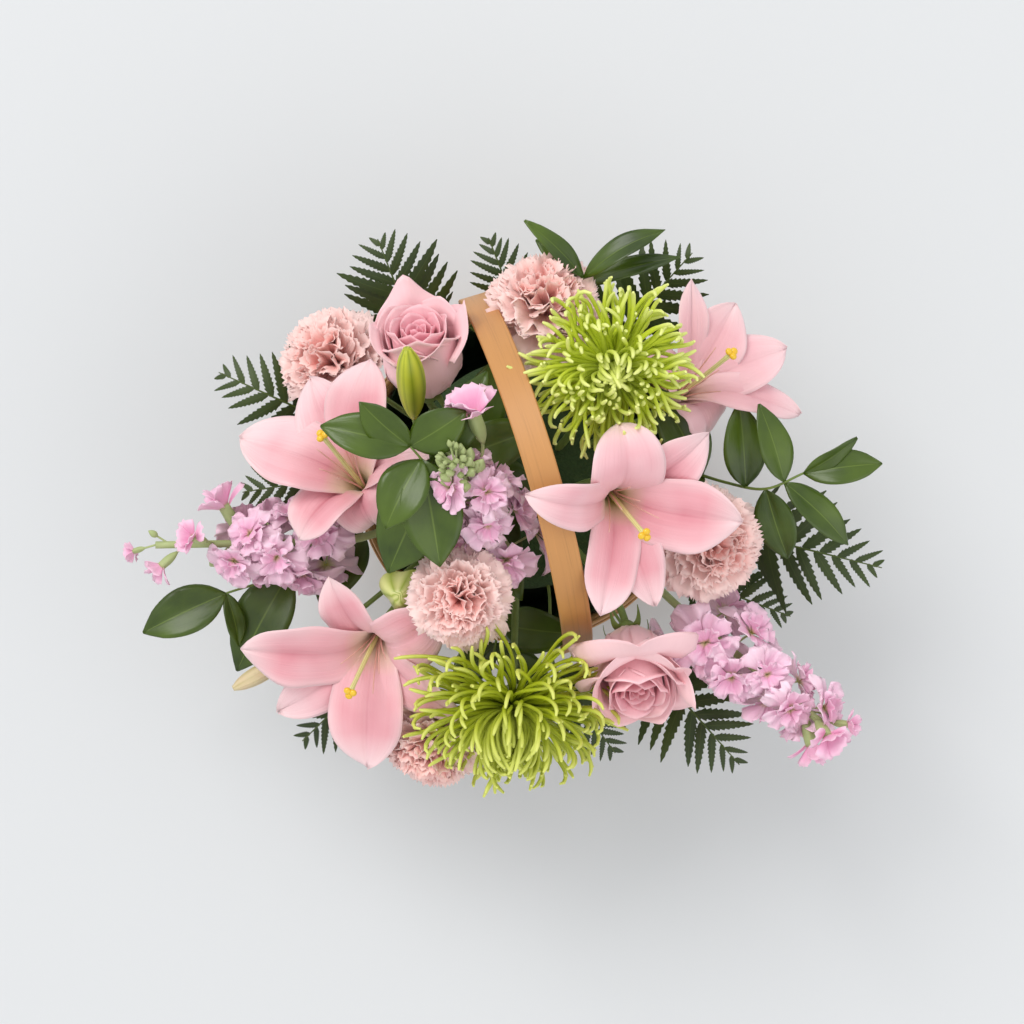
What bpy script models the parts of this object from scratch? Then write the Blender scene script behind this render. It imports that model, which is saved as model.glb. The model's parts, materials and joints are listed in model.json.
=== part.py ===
"""A round handled basket filled with cut flowers and foliage, in metres, +Z up.

The origin is the middle of the underside of the basket's floor. The front of the arrangement faces -Y.
Every cut stem stands in its own socket in a block of floral foam, which sits in a plastic liner inside
the basket. Each stem, with the bloom, bud or leaves that grew on it, is one solid.
"""

import math
from typing import NamedTuple

import bmesh
import bpy
from mathutils import Matrix, Vector

# Basket ---------------------------------------------------------------------------------------------
BASKET_HEIGHT = 0.112
BASE_OUTER = 0.1005
RIM_OUTER = 0.1245
WALL = 0.0025
BAND = 0.0022
GAP = 0.0003
FLOOR_THICKNESS = 0.005
FOOT_BAND_TOP = 0.014
RIM_BAND_BOTTOM = 0.094
ROUND_STEPS = 36

# Handle ---------------------------------------------------------------------------------------------
HANDLE_TOP = 0.325
HANDLE_WIDTH = 0.022
HANDLE_THICKNESS = 0.003
HANDLE_HALF_SPAN = 0.1345
HANDLE_SPRING_Z = 0.150
HANDLE_FOOT_Z = 0.012
HANDLE_TURN = math.radians(-73.5)
HANDLE_LEAN = 0.011
ARCH_STEPS = 20
TACK_RADIUS = 0.0010
TACK_HEAD_RADIUS = 0.0034
TACK_HEIGHTS = (0.0985, 0.1075)

# Liner and foam -------------------------------------------------------------------------------------
LINER_WALL = 0.001
LINER_TOP = 0.104
LINER_CLEARANCE = 0.0045
FOAM_RADIUS = 0.086
FOAM_BOTTOM = 0.0070
FOAM_TOP = 0.138
FOAM_CHAMFER = 0.014
FOAM_HEART = Vector((0, 0, 0.062))
SOCKET_DEPTH = 0.018
SOCKET_CLEARANCE = 0.0004

# Stems and leaves -----------------------------------------------------------------------------------
BAR_RESOLUTION = 1
STEM_POINTS = 5
STRAIGHT_START = 0.008
LEAF_THICKNESS = 0.0014
FROND_THICKNESS = 0.0013
TWIG_RADIUS = 0.0013

COLOURS = {
    "chipwood": (0.52, 0.25, 0.085, 1),
    "brass": (0.55, 0.40, 0.15, 1),
    "liner_plastic": (0.03, 0.06, 0.03, 1),
    "floral_foam": (0.05, 0.16, 0.06, 1),
    "lily_pink": (0.68, 0.31, 0.36, 1),
    "bud_green": (0.23, 0.29, 0.02, 1),
    "mum_green": (0.40, 0.52, 0.06, 1),
    "rose_pink": (0.78, 0.33, 0.42, 1),
    "carnation_pink": (0.80, 0.40, 0.38, 1),
    "stock_lilac": (0.66, 0.36, 0.58, 1),
    "ruscus_green": (0.06, 0.11, 0.02, 1),
    "fern_green": (0.035, 0.06, 0.015, 1),
}
ROUGHNESS = {"brass": 0.3, "liner_plastic": 0.35, "ruscus_green": 0.35, "chipwood": 0.5}
METALS = ("brass",)


class Bloom(NamedTuple):
    """A cut flower: where its head meets the stem, which way it leans, and where the stem enters the foam."""

    kind: str
    base: tuple
    azimuth: float
    lean: float
    roll: float
    radius: float
    foot: tuple


class Spray(NamedTuple):
    """A cut stem of broad leaves: where it enters the foam, the points it runs through, and for each leaf
    how far up the stem it grows, its tip, its width and its arch."""

    foot: tuple
    stem: tuple
    leaves: tuple


class Frond(NamedTuple):
    """A cut fern frond: where the blade starts and ends, its width and droop, and where its stalk is set."""

    root: tuple
    tip: tuple
    width: float
    droop: float
    foot: tuple


# Places in millimetres, angles in degrees. Azimuth 0 is +X and 90 is +Y.
BLOOMS = {
    "lily_left_back": Bloom("lily", (-113, -13, 213), 129, 33, 158, 69, (-42, -6)),
    "lily_left_front": Bloom("lily", (-104, -112, 188), 249, 34, 190, 66, (-38, -42)),
    "lily_right": Bloom("lily", (58, -14, 250), 307, 27, 352, 56, (27, -10)),
    "lily_right_back": Bloom("lily", (112, 52, 203), 42, 34, 58, 72, (50, 22)),
    "mum_back": Bloom("mum", (49, 61, 286), 60, 8, 0, 42, (26, 20)),
    "mum_front": Bloom("mum", (-8, -156, 216), 268, 46, 10, 37, (-4, -50)),
    "rose_back": Bloom("rose", (-76, 62, 216), 98, 36, 0, 29, (-26, 38)),
    "rose_front": Bloom("rose", (75, -112, 200), 279, 50, 30, 31, (32, -48)),
    "carnation_left_back": Bloom("carnation", (-128, 76, 168), 146, 32, 0, 30, (-56, 26)),
    "carnation_back": Bloom("carnation", (13, 98, 212), 84, 36, 20, 31, (0, 50)),
    "carnation_centre": Bloom("carnation", (-44, -82, 240), 250, 10, 40, 31, (-20, -30)),
    "carnation_right": Bloom("carnation", (119, -46, 200), 340, 26, 10, 33, (58, -20)),
    "carnation_front": Bloom("carnation", (-58, -172, 160), 250, 55, 0, 30, (-26, -64)),
    "stock_centre": Bloom("stock", (-12, -54, 226), 121, 36, 0, 18, (-9, -14)),
    "stock_left": Bloom("stock", (-135, -50, 186), 181, 84, 0, 22, (-60, -22)),
    "stock_right": Bloom("stock", (122, -106, 194), 321, 76, 0, 26, (56, -44)),
    "lily_bud_back": Bloom("bud", (-77, 37, 272), 94, 44, 0, 9, (-32, 24)),
    "lily_bud_left": Bloom("bud", (-172, -136, 172), 208, 76, 0, 9, (-58, -48)),
    "lily_bud_centre": Bloom("bud", (-84, -80, 194), 235, 12, 0, 12, (-34, -22)),
}

SPRAYS = {
    "ruscus_centre": Spray(
        (-14, 8),
        ((-36, 12, 190), (-54, 8, 256), (-64, 2, 300), (-78, 16, 316)),
        (
            (1.0, (-137, 30, 318), 25, 5),
            (1.0, (-112, 46, 332), 22, 3),
            (0.95, (-42, 42, 322), 24, 3),
            (0.85, (-95, -38, 314), 30, 5),
            (0.65, (-80, -62, 294), 25, 4),
        ),
    ),
    "ruscus_back": Spray(
        (6, 84),
        ((16, 112, 150), (34, 128, 200), (42, 137, 243)),
        (
            (1.0, (0, 176, 258), 15, 4),
            (0.95, (8, 164, 240), 13, 3),
            (1.0, (100, 170, 252), 19, 8),
            (0.9, (112, 150, 232), 19, 5),
        ),
    ),
    "ruscus_right": Spray(
        (80, 12),
        ((116, 4, 146), (146, -7, 192), (172, -12, 224), (198, -1, 234)),
        (
            (0.85, (170, 46, 230), 24, 3),
            (1.0, (235, 24, 244), 14, 3),
            (1.0, (254, 6, 234), 24, 5),
            (0.9, (228, -34, 222), 20, 4),
            (0.75, (190, -62, 206), 28, 4),
        ),
    ),
    "ruscus_left": Spray(
        (-82, -22),
        ((-122, -40, 142), (-172, -72, 162), (-218, -88, 172)),
        (
            (1.0, (-279, -117, 172), 32, 5),
            (1.0, (-209, -128, 164), 15, 3),
            (0.65, (-212, -146, 154), 40, 5),
        ),
    ),
    "ruscus_front": Spray(
        (-12, -80),
        ((-18, -112, 140), (-24, -140, 156)),
        (
            (0.8, (-52, -156, 148), 26, 4),
            (0.8, (22, -168, 146), 26, 4),
        ),
    ),
}

FRONDS = {
    "fern_back_left": Frond((-78, 98, 158), (-106, 169, 196), 70, 10, (-58, 62)),
    "fern_back": Frond((-2, 112, 142), (-26, 172, 174), 44, 8, (-8, 84)),
    "fern_left": Frond((-140, 36, 154), (-222, 73, 186), 66, 14, (-80, 24)),
    "fern_left_low": Frond((-130, -2, 150), (-206, -14, 172), 56, 12, (-84, 2)),
    "fern_back_right": Frond((66, 98, 150), (121, 158, 206), 72, 8, (50, 68)),
    "fern_right": Frond((158, -44, 146), (260, -69, 186), 72, 16, (80, -22)),
    "fern_right_low": Frond((124, -78, 134), (198, -106, 142), 52, 10, (66, -52)),
    "fern_front_right": Frond((98, -146, 130), (159, -215, 156), 66, 12, (46, -70)),
    "fern_front": Frond((26, -150, 120), (68, -208, 136), 56, 14, (18, -82)),
    "fern_front_left": Frond((-104, -140, 128), (-164, -198, 150), 60, 14, (-56, -62)),
}

STEM_RADIUS = {"lily": 3.2, "mum": 3.0, "rose": 3.2, "carnation": 2.2, "stock": 3.2, "bud": 2.2}


def mm(values):
    """A point given in millimetres, in metres."""
    return Vector(values) / 1000


def collection(name):
    """A new collection in the scene."""
    made = bpy.data.collections.new(name)
    bpy.context.scene.collection.children.link(made)
    return made


def material(name):
    """The Principled BSDF of one finish."""
    made = bpy.data.materials.get(name)
    if made:
        return made
    made = bpy.data.materials.new(name)
    made.use_nodes = True
    shader = made.node_tree.nodes["Principled BSDF"]
    shader.inputs["Base Color"].default_value = COLOURS[name]
    shader.inputs["Roughness"].default_value = ROUGHNESS.get(name, 0.65)
    shader.inputs["Metallic"].default_value = 1.0 if name in METALS else 0.0
    made.diffuse_color = COLOURS[name]
    return made


def put(name, mesh, group, finish):
    """An object for a mesh or curve, in a collection, with its finish."""
    made = bpy.data.objects.new(name, mesh)
    group.objects.link(made)
    if finish:
        made.data.materials.append(material(finish))
    return made


def finished_mesh(obj, name):
    """The evaluated mesh of an object with its place applied. The object is removed."""
    bpy.context.view_layer.update()
    graph = bpy.context.evaluated_depsgraph_get()
    mesh = bpy.data.meshes.new_from_object(obj.evaluated_get(graph))
    mesh.transform(obj.matrix_world)
    welder = bmesh.new()
    welder.from_mesh(mesh)
    bmesh.ops.remove_doubles(welder, verts=welder.verts, dist=1e-6)
    welder.to_mesh(mesh)
    welder.free()
    mesh.name = name
    bpy.data.objects.remove(obj)
    return mesh


def add_modifier(obj, kind, **settings):
    """A modifier with its settings."""
    made = obj.modifiers.new(kind.title(), kind)
    for key, value in settings.items():
        setattr(made, key, value)
    return made


def united(name, pieces, group, finish):
    """One body from overlapping pieces."""
    first = pieces[0]
    for other in pieces[1:]:
        add_modifier(first, "BOOLEAN", operation="UNION", object=other)
    mesh = finished_mesh(first, name)
    for other in pieces[1:]:
        bpy.data.objects.remove(other)
    return put(name, mesh, group, finish)


def cut(obj, cutters):
    """Takes each cutter out of the object."""
    for cutter in cutters:
        add_modifier(obj, "BOOLEAN", operation="DIFFERENCE", object=cutter)


def turned(name, profile, group, finish, steps=ROUND_STEPS):
    """A turned solid. The profile holds (radius, height) points and runs down the outer side first."""
    closed = all(radius > 0 for radius, _ in profile)
    outline = bpy.data.meshes.new(name)
    points = [(radius, 0, height) for radius, height in profile]
    edges = [(i, i + 1) for i in range(len(points) - 1)]
    if closed:
        edges.append((len(points) - 1, 0))
    outline.from_pydata(points, edges, [])
    made = put(name, outline, group, finish)
    add_modifier(
        made, "SCREW", steps=steps, render_steps=steps, use_merge_vertices=True, merge_threshold=1e-5
    )
    return made


def tube(name, points, radius, group, finish):
    """A round bar along a smooth line of points."""
    curve = bpy.data.curves.new(name, "CURVE")
    curve.dimensions = "3D"
    curve.bevel_depth = radius
    curve.bevel_resolution = BAR_RESOLUTION
    curve.use_fill_caps = True
    spline = curve.splines.new("POLY")
    spline.points.add(len(points) - 1)
    for knot, point in zip(spline.points, points):
        knot.co = (*point, 1)
    return put(name, curve, group, finish)


def bezier(start, start_way, end, end_way, count):
    """Points along a curve that leaves start along start_way and arrives at end along end_way."""
    reach = (end - start).length / 3
    a, b = start + start_way * reach, end - end_way * reach
    found = []
    for i in range(count):
        t = i / (count - 1)
        s = 1 - t
        found.append(start * s**3 + a * 3 * s * s * t + b * 3 * s * t * t + end * t**3)
    return found


def smooth_line(knots, each):
    """Points of a Catmull-Rom curve through the knots."""
    ends = [2 * knots[0] - knots[1], *knots, 2 * knots[-1] - knots[-2]]
    found = []
    for a, b, c, d in zip(ends, ends[1:], ends[2:], ends[3:]):
        for i in range(each):
            t = i / each
            found.append(
                b
                + (c - a) * (t / 2)
                + (a - 2.5 * b + 2 * c - d / 2) * t * t
                + (1.5 * b - a / 2 - 1.5 * c + d / 2) * t**3
            )
    return [*found, knots[-1]]


def facing(azimuth, lean, roll):
    """The turn that leans +Z by lean towards azimuth, with roll about the leaned axis measured from +X."""
    azimuth, lean, roll = (math.radians(angle) for angle in (azimuth, lean, roll))
    return (
        Matrix.Rotation(azimuth, 4, "Z")
        @ Matrix.Rotation(lean, 4, "Y")
        @ Matrix.Rotation(roll - azimuth, 4, "Z")
    )


def shaped_ball(name, segments, rings, shape, group):
    """A ball whose points are moved by shape(turn, polar angle) to (radius, height)."""
    form = bmesh.new()
    bmesh.ops.create_uvsphere(form, u_segments=segments, v_segments=rings, radius=1)
    for vertex in form.verts:
        polar = math.acos(max(-1, min(1, vertex.co.z)))
        turn = math.atan2(vertex.co.y, vertex.co.x)
        radius, height = shape(turn, polar)
        vertex.co = (radius * math.cos(turn), radius * math.sin(turn), height)
    mesh = bpy.data.meshes.new(name)
    form.to_mesh(mesh)
    form.free()
    return put(name, mesh, group, None)


# Heads: each has its stem joint at the origin and opens along +Z --------------------------------------


def lily_head(name, radius, group):
    """A trumpet of six lobes."""
    depth, thickness, neck = 0.62 * radius, 0.0034, 0.006

    def shape(turn, polar):
        out = math.sin(polar)
        lobe = (0.5 + 0.5 * math.cos(6 * turn)) ** 0.7
        reach = radius * (0.42 + 0.58 * lobe)
        height = depth * math.sin(min(out, 1) * math.radians(100)) - 0.1 * depth * lobe * out**4
        side = math.cos(polar) * thickness
        return reach * out**1.7, neck + height + side

    return shaped_ball(name, 24, 6, shape, group)


def mum_head(name, radius, group):
    """A deep dome of long florets."""

    def shape(turn, polar):
        spike = 1 + 0.07 * math.cos(12 * turn)
        flatter = 1 if polar < math.pi / 2 else 0.8
        height = 0.62 * radius * (1 + flatter * math.cos(polar))
        return radius * math.sin(polar) ** 0.8 * spike, height - 0.1 * radius

    return shaped_ball(name, 24, 7, shape, group)


def rose_head(name, radius, group):
    """A goblet of wrapped petals with a hollow round the bud."""
    height = 1.65 * radius

    def shape(turn, polar):
        share = polar / math.pi
        petals = 1 + 0.05 * math.cos(5 * turn)
        if share < 0.36:
            return radius * (share / 0.36) * petals, height - 0.12 * radius * math.sin(share / 0.36 * math.pi)
        down = (share - 0.36) / 0.64
        return radius * petals * (1 - down**2.4) ** 0.7, height * (1 - down)

    return shaped_ball(name, 15, 9, shape, group)


def carnation_head(name, radius, group):
    """A ruffled dome on a narrow calyx."""
    calyx_length, calyx_radius = 0.62 * radius, 0.18 * radius

    def shape(turn, polar):
        if polar <= 0.62 * math.pi:
            swing = polar / (0.62 * math.pi) * math.radians(115)
            ruffle = 1 + 0.07 * math.cos(8 * turn) * math.sin(swing)
            height = calyx_length + radius * (0.45 + 0.55 * math.cos(swing))
            return radius * math.sin(swing) * ruffle, height
        down = (polar / math.pi - 0.62) / 0.38
        return calyx_radius * min(1, 2.2 * (1 - down)), calyx_length * (1 - down)

    return shaped_ball(name, 16, 8, shape, group)


def stock_head(name, radius, group):
    """A long spike of clustered florets that ends in buds."""
    length = 0.128

    def shape(turn, polar):
        up = 0.5 - 0.5 * math.cos(polar)
        bumps = 1 + 0.16 * math.cos(5 * turn + 9 * polar)
        body = math.sin(polar) ** 0.6 * (0.55 + 0.45 * math.sin(math.pi * min(1, 0.25 + up)))
        return radius * body * bumps, length * (1 - up)

    return shaped_ball(name, 12, 9, shape, group)


def bud_head(name, radius, group):
    """A closed bud of three ridged outer petals."""
    length = 0.062

    def shape(turn, polar):
        up = 0.5 + 0.5 * math.cos(polar)
        ridges = 1 - 0.07 * math.cos(3 * turn)
        return radius * math.sin(polar) ** 0.9 * ridges, length * up

    return shaped_ball(name, 9, 7, shape, group)


HEADS = {
    "lily": (lily_head, "lily_pink"),
    "mum": (mum_head, "mum_green"),
    "rose": (rose_head, "rose_pink"),
    "carnation": (carnation_head, "carnation_pink"),
    "stock": (stock_head, "stock_lilac"),
    "bud": (bud_head, "bud_green"),
}


# Foam feet and sockets --------------------------------------------------------------------------------


def foam_surface(foot):
    """The point of the foam's surface over (x, y) in millimetres: on its top, or on its chamfered edge."""
    x, y = foot[0] / 1000, foot[1] / 1000
    out = math.hypot(x, y)
    flat = FOAM_RADIUS - FOAM_CHAMFER
    if out <= flat:
        return Vector((x, y, FOAM_TOP))
    share = min(1, (out - flat) / FOAM_CHAMFER)
    edge = min(out, FOAM_RADIUS) / out
    return Vector((x * edge, y * edge, FOAM_TOP - share * FOAM_CHAMFER - 0.006 * (out > FOAM_RADIUS - 0.004)))


def socket_end(foot_point, way):
    """Where the stem's cut end lies, inside the foam."""
    return foot_point - way * SOCKET_DEPTH


def socket_cutter(name, foot_point, way, radius, cutters):
    """A bar that cuts the socket of one stem."""
    reach = [socket_end(foot_point, way) - way * SOCKET_CLEARANCE, foot_point + way * SOCKET_DEPTH]
    curve = tube(name, reach, radius + SOCKET_CLEARANCE, cutters, None)
    made = put(name + "_cutter", finished_mesh(curve, name), cutters, None)
    made.hide_render = True
    made.display_type = "WIRE"
    return made


# Plants -----------------------------------------------------------------------------------------------


def build_bloom(name, plan, group, cutters):
    """A flower head on its stem. Returns the cutter of its socket."""
    make_head, finish = HEADS[plan.kind]
    turn = facing(plan.azimuth, plan.lean, plan.roll)
    head = make_head(name + "_head", plan.radius / 1000, group)
    head.data.transform(Matrix.Translation(mm(plan.base)) @ turn)
    axis = turn.to_3x3() @ Vector((0, 0, 1))
    radius = STEM_RADIUS[plan.kind] / 1000
    foot = foam_surface(plan.foot)
    way = (foot - FOAM_HEART).normalized()
    into_head = mm(plan.base) + axis * 0.009
    start = foot + way * STRAIGHT_START
    line = [socket_end(foot, way), *bezier(start, way, into_head, axis, STEM_POINTS)]
    stem = tube(name + "_stem", line, radius, group, None)
    united(name, [put(name + "_bar", finished_mesh(stem, name), group, None), head], group, finish)
    return socket_cutter(name + "_socket", foot, way, radius, cutters)


def leaf_plate(name, root, tip, width, arch, group):
    """A broad leaf: a grid shaped to an oval with a pointed tip, folded a little along its midrib."""
    along = tip - root
    length = along.length
    across = along.cross(Vector((0, 0, 1))).normalized()
    up = across.cross(along).normalized()
    form = bmesh.new()
    bmesh.ops.create_grid(form, x_segments=5, y_segments=2, size=1)
    for vertex in form.verts:
        share = (vertex.co.x + 1) / 2
        side = vertex.co.y
        half = width / 2 * max(0.06, math.sin(math.pi * share**0.85) ** 0.8)
        rise = arch * math.sin(math.pi * share) + 0.12 * half * abs(side)
        vertex.co = root + along * share + across * (half * side) + up * rise
    bmesh.ops.recalc_face_normals(form, faces=form.faces)
    mesh = bpy.data.meshes.new(name)
    form.to_mesh(mesh)
    form.free()
    made = put(name, mesh, group, None)
    add_modifier(made, "SOLIDIFY", thickness=min(LEAF_THICKNESS, length / 8), offset=0)
    return put(name, finished_mesh(made, name), group, None)


def build_spray(name, plan, group, cutters):
    """A stem of broad leaves. Returns the cutter of its socket."""
    foot = foam_surface(plan.foot)
    way = (foot - FOAM_HEART).normalized()
    start = foot + way * STRAIGHT_START
    line = smooth_line([start, *(mm(point) for point in plan.stem)], 2)
    stem = tube(name + "_stem", [socket_end(foot, way), *line], TWIG_RADIUS, group, None)
    pieces = [put(name + "_bar", finished_mesh(stem, name), group, None)]
    for index, (share, tip, width, arch) in enumerate(plan.leaves):
        root = line[round(share * (len(line) - 1))]
        pieces.append(leaf_plate(f"{name}_leaf_{index}", root, mm(tip), width / 1000, arch / 1000, group))
    united(name, pieces, group, "ruscus_green")
    return socket_cutter(name + "_socket", foot, way, TWIG_RADIUS, cutters)


def frond_plate(name, root, tip, width, droop, group):
    """A toothed, tapering, arched blade that stands for a frond's leaflets."""
    along = tip - root
    across = along.cross(Vector((0, 0, 1))).normalized()
    up = across.cross(along).normalized()
    teeth = 5
    form = bmesh.new()
    bmesh.ops.create_grid(form, x_segments=2 * teeth, y_segments=2, size=1)
    for vertex in form.verts:
        share = (vertex.co.x + 1) / 2
        side = vertex.co.y
        tooth = 1.0 if round(share * 2 * teeth) % 2 else 0.62
        half = max(0.0012, width / 2 * (1 - share**1.5) * tooth * min(1, 0.55 + 2.2 * share))
        lead = 0.06 * abs(side) * (tooth == 1.0) * (1 - share)
        rise = droop * math.sin(math.pi * share) - 0.08 * half * abs(side)
        vertex.co = root + along * (share + lead) + across * (half * side) + up * rise
    bmesh.ops.recalc_face_normals(form, faces=form.faces)
    mesh = bpy.data.meshes.new(name)
    form.to_mesh(mesh)
    form.free()
    made = put(name, mesh, group, None)
    add_modifier(made, "SOLIDIFY", thickness=FROND_THICKNESS, offset=0)
    return put(name, finished_mesh(made, name), group, None)


def build_frond(name, plan, group, cutters):
    """A fern frond on its stalk. Returns the cutter of its socket."""
    foot = foam_surface(plan.foot)
    way = (foot - FOAM_HEART).normalized()
    root, tip = mm(plan.root), mm(plan.tip)
    out = (tip - root).normalized()
    start = foot + way * STRAIGHT_START
    line = [socket_end(foot, way), *bezier(start, way, root + out * 0.008, out, STEM_POINTS)]
    stem = tube(name + "_stem", line, TWIG_RADIUS, group, None)
    bar = put(name + "_bar", finished_mesh(stem, name), group, None)
    blade = frond_plate(name + "_blade", root, tip, plan.width / 1000, plan.droop / 1000, group)
    united(name, [bar, blade], group, "fern_green")
    return socket_cutter(name + "_socket", foot, way, TWIG_RADIUS, cutters)


# Basket -----------------------------------------------------------------------------------------------


def wall_radius(height):
    """The outer radius of the basket's wall, which bellies a little between floor and rim."""
    share = height / BASKET_HEIGHT
    return BASE_OUTER + (RIM_OUTER - BASE_OUTER) * share + 0.003 * math.sin(math.pi * share)


def hoop(name, bottom, top, inner_offset, outer_offset, group, finish, levels=2):
    """A band that follows the wall between two heights. Offsets are measured from the wall's outside."""
    heights = [top + (bottom - top) * i / (levels - 1) for i in range(levels)]
    outside = [(wall_radius(height) + outer_offset, height) for height in heights]
    inside = [(wall_radius(height) + inner_offset, height) for height in reversed(heights)]
    return turned(name, outside + inside, group, finish)


def build_basket(group):
    """The floor, wall, bands and rim reed. Returns the pieces that the handle's tacks go through."""
    floor_radius = BASE_OUTER - WALL - GAP
    turned(
        "basket_floor",
        [(0, FLOOR_THICKNESS), (floor_radius, FLOOR_THICKNESS), (floor_radius, 0), (0, 0)],
        group,
        "chipwood",
    )
    wall = hoop("basket_wall", 0, BASKET_HEIGHT, -WALL, 0, group, "chipwood", levels=4)
    hoop("foot_band", 0, FOOT_BAND_TOP, GAP, GAP + BAND, group, "chipwood")
    rim = hoop("rim_band_outer", RIM_BAND_BOTTOM, BASKET_HEIGHT, GAP, GAP + BAND, group, "chipwood")
    inner = hoop(
        "rim_band_inner", RIM_BAND_BOTTOM, BASKET_HEIGHT, -WALL - GAP - BAND, -WALL - GAP, group, "chipwood"
    )
    reed_radius, reed_steps = 0.0020, 6
    middle = wall_radius(BASKET_HEIGHT) - WALL / 2
    reed = [
        (
            middle + reed_radius * math.cos(-2 * math.pi * i / reed_steps),
            BASKET_HEIGHT + reed_radius + GAP + reed_radius * math.sin(-2 * math.pi * i / reed_steps),
        )
        for i in range(reed_steps)
    ]
    turned("rim_reed", reed, group, "chipwood")
    return [wall, rim, inner]


def handle_line():
    """The handle's middle line in its own plane, as (distance from the middle, height), foot to foot."""
    offset = GAP + BAND + GAP + HANDLE_THICKNESS / 2
    leg_heights = [HANDLE_FOOT_Z, 0.045, 0.078, RIM_BAND_BOTTOM, BASKET_HEIGHT]
    leg = [(wall_radius(height) + offset, height) for height in leg_heights]
    rise = HANDLE_TOP - HANDLE_THICKNESS / 2 - HANDLE_SPRING_Z
    arch = []
    for i in range(ARCH_STEPS + 1):
        angle = math.pi * i / ARCH_STEPS
        arch.append((HANDLE_HALF_SPAN * math.cos(angle), HANDLE_SPRING_Z + rise * math.sin(angle) ** 0.94))
    return [*leg, *arch, *((-out, height) for out, height in reversed(leg))]


def handle_lean(height):
    """How far the arch leans sideways at a height."""
    share = max(0, (height - BASKET_HEIGHT) / (HANDLE_TOP - BASKET_HEIGHT))
    return HANDLE_LEAN * share**2


def build_handle(group):
    """The bentwood handle: one flat strip from the foot on one side over to the other."""
    form = bmesh.new()
    rows = []
    for out, height in handle_line():
        lean = handle_lean(height)
        rows.append([form.verts.new((out, lean + side * HANDLE_WIDTH / 2, height)) for side in (-1, 1)])
    for a, b in zip(rows, rows[1:]):
        form.faces.new((a[0], a[1], b[1], b[0]))
    bmesh.ops.recalc_face_normals(form, faces=form.faces)
    mesh = bpy.data.meshes.new("handle")
    form.to_mesh(mesh)
    form.free()
    made = put("handle", mesh, group, "chipwood")
    made.rotation_euler.z = HANDLE_TURN
    add_modifier(made, "SOLIDIFY", thickness=HANDLE_THICKNESS, offset=0, use_even_offset=True)
    return made


def build_tacks(group, cutters):
    """Two tacks at each end of the handle, square to the wall. Returns the bars that cut their holes."""
    holes = []
    spread = wall_radius(BASKET_HEIGHT) - wall_radius(RIM_BAND_BOTTOM)
    slope = math.atan2(spread, BASKET_HEIGHT - RIM_BAND_BOTTOM)
    face = 3 * GAP + BAND + HANDLE_THICKNESS
    tip = -WALL - GAP - BAND - 0.0008
    profile = [
        (0, face + 0.0012),
        (0.6 * TACK_HEAD_RADIUS, face + 0.0010),
        (TACK_HEAD_RADIUS, face + 0.0003),
        (TACK_HEAD_RADIUS, face),
        (TACK_RADIUS, face),
        (TACK_RADIUS, tip),
        (0, tip - 0.001),
    ]
    bore = TACK_RADIUS + GAP
    bore_profile = [(0, face + 0.01), (bore, face + 0.01), (bore, tip - 0.004), (0, tip - 0.004)]
    for side, half_turn in (("front", 0), ("back", math.pi)):
        for index, height in enumerate(TACK_HEIGHTS):
            place = (
                Matrix.Rotation(HANDLE_TURN + half_turn, 4, "Z")
                @ Matrix.Translation((wall_radius(height), 0, height))
                @ Matrix.Rotation(math.pi / 2 + slope, 4, "Y")
            )
            tack = turned(f"handle_tack_{side}_{index + 1}", profile, group, "brass", steps=10)
            tack.matrix_world = place
            hole = turned(f"tack_hole_{side}_{index + 1}", bore_profile, cutters, None, steps=10)
            hole.matrix_world = place
            hole.hide_render = True
            hole.display_type = "WIRE"
            holes.append(hole)
    return holes


def build_liner(group):
    """The plastic dish that keeps the water off the wood."""
    heights = [LINER_TOP - i * (LINER_TOP - FLOOR_THICKNESS - GAP) / 2 for i in range(3)]
    outside = [(wall_radius(height) - WALL - LINER_CLEARANCE, height) for height in heights]
    inside = [(radius - LINER_WALL, height) for radius, height in reversed(outside[:-1])]
    corner = outside[-1][0] - LINER_WALL
    floor = FLOOR_THICKNESS + GAP + LINER_WALL
    lip = [(outside[0][0] + 0.0012, LINER_TOP), (outside[0][0] + 0.0012, LINER_TOP - 0.001)]
    bottom = [(0, outside[-1][1]), (0, floor)]
    profile = [*lip, (outside[0][0], LINER_TOP - 0.001), *outside[1:], *bottom, (corner, floor), *inside[:-1]]
    profile.append((outside[0][0] - LINER_WALL, LINER_TOP))
    start = profile.index((0, floor))
    turned("liner", profile[start:] + profile[:start], group, "liner_plastic")


def build_foam(group, sockets):
    """The block of floral foam with a socket for every stem."""
    flat = FOAM_RADIUS - FOAM_CHAMFER
    profile = [
        (0, FOAM_TOP),
        (flat, FOAM_TOP),
        (FOAM_RADIUS - 0.3 * FOAM_CHAMFER, FOAM_TOP - 0.35 * FOAM_CHAMFER),
        (FOAM_RADIUS, FOAM_TOP - FOAM_CHAMFER),
        (FOAM_RADIUS, FOAM_BOTTOM),
        (0, FOAM_BOTTOM),
    ]
    cut(turned("foam", profile, group, "floral_foam", steps=32), sockets)


def main():
    for old in list(bpy.data.objects):
        bpy.data.objects.remove(old)
    group = collection("flower_basket")
    cutters = collection("cutters")
    pierced = build_basket(group)
    handle = build_handle(group)
    holes = build_tacks(group, cutters)
    for piece in [handle, *pierced]:
        cut(piece, holes)
    build_liner(group)
    sockets = [build_bloom(name, plan, group, cutters) for name, plan in BLOOMS.items()]
    sockets += [build_spray(name, plan, group, cutters) for name, plan in SPRAYS.items()]
    sockets += [build_frond(name, plan, group, cutters) for name, plan in FRONDS.items()]
    build_foam(group, sockets)


main()
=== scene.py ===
"""A handled basket of cut flowers, grown petal by petal over its solid frame, laid out as a Blender add-on.

Lengths in the plans are millimetres and angles degrees. Azimuth 0 is +X and 90 is +Y.
"""

import json
import math
from typing import NamedTuple

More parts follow.
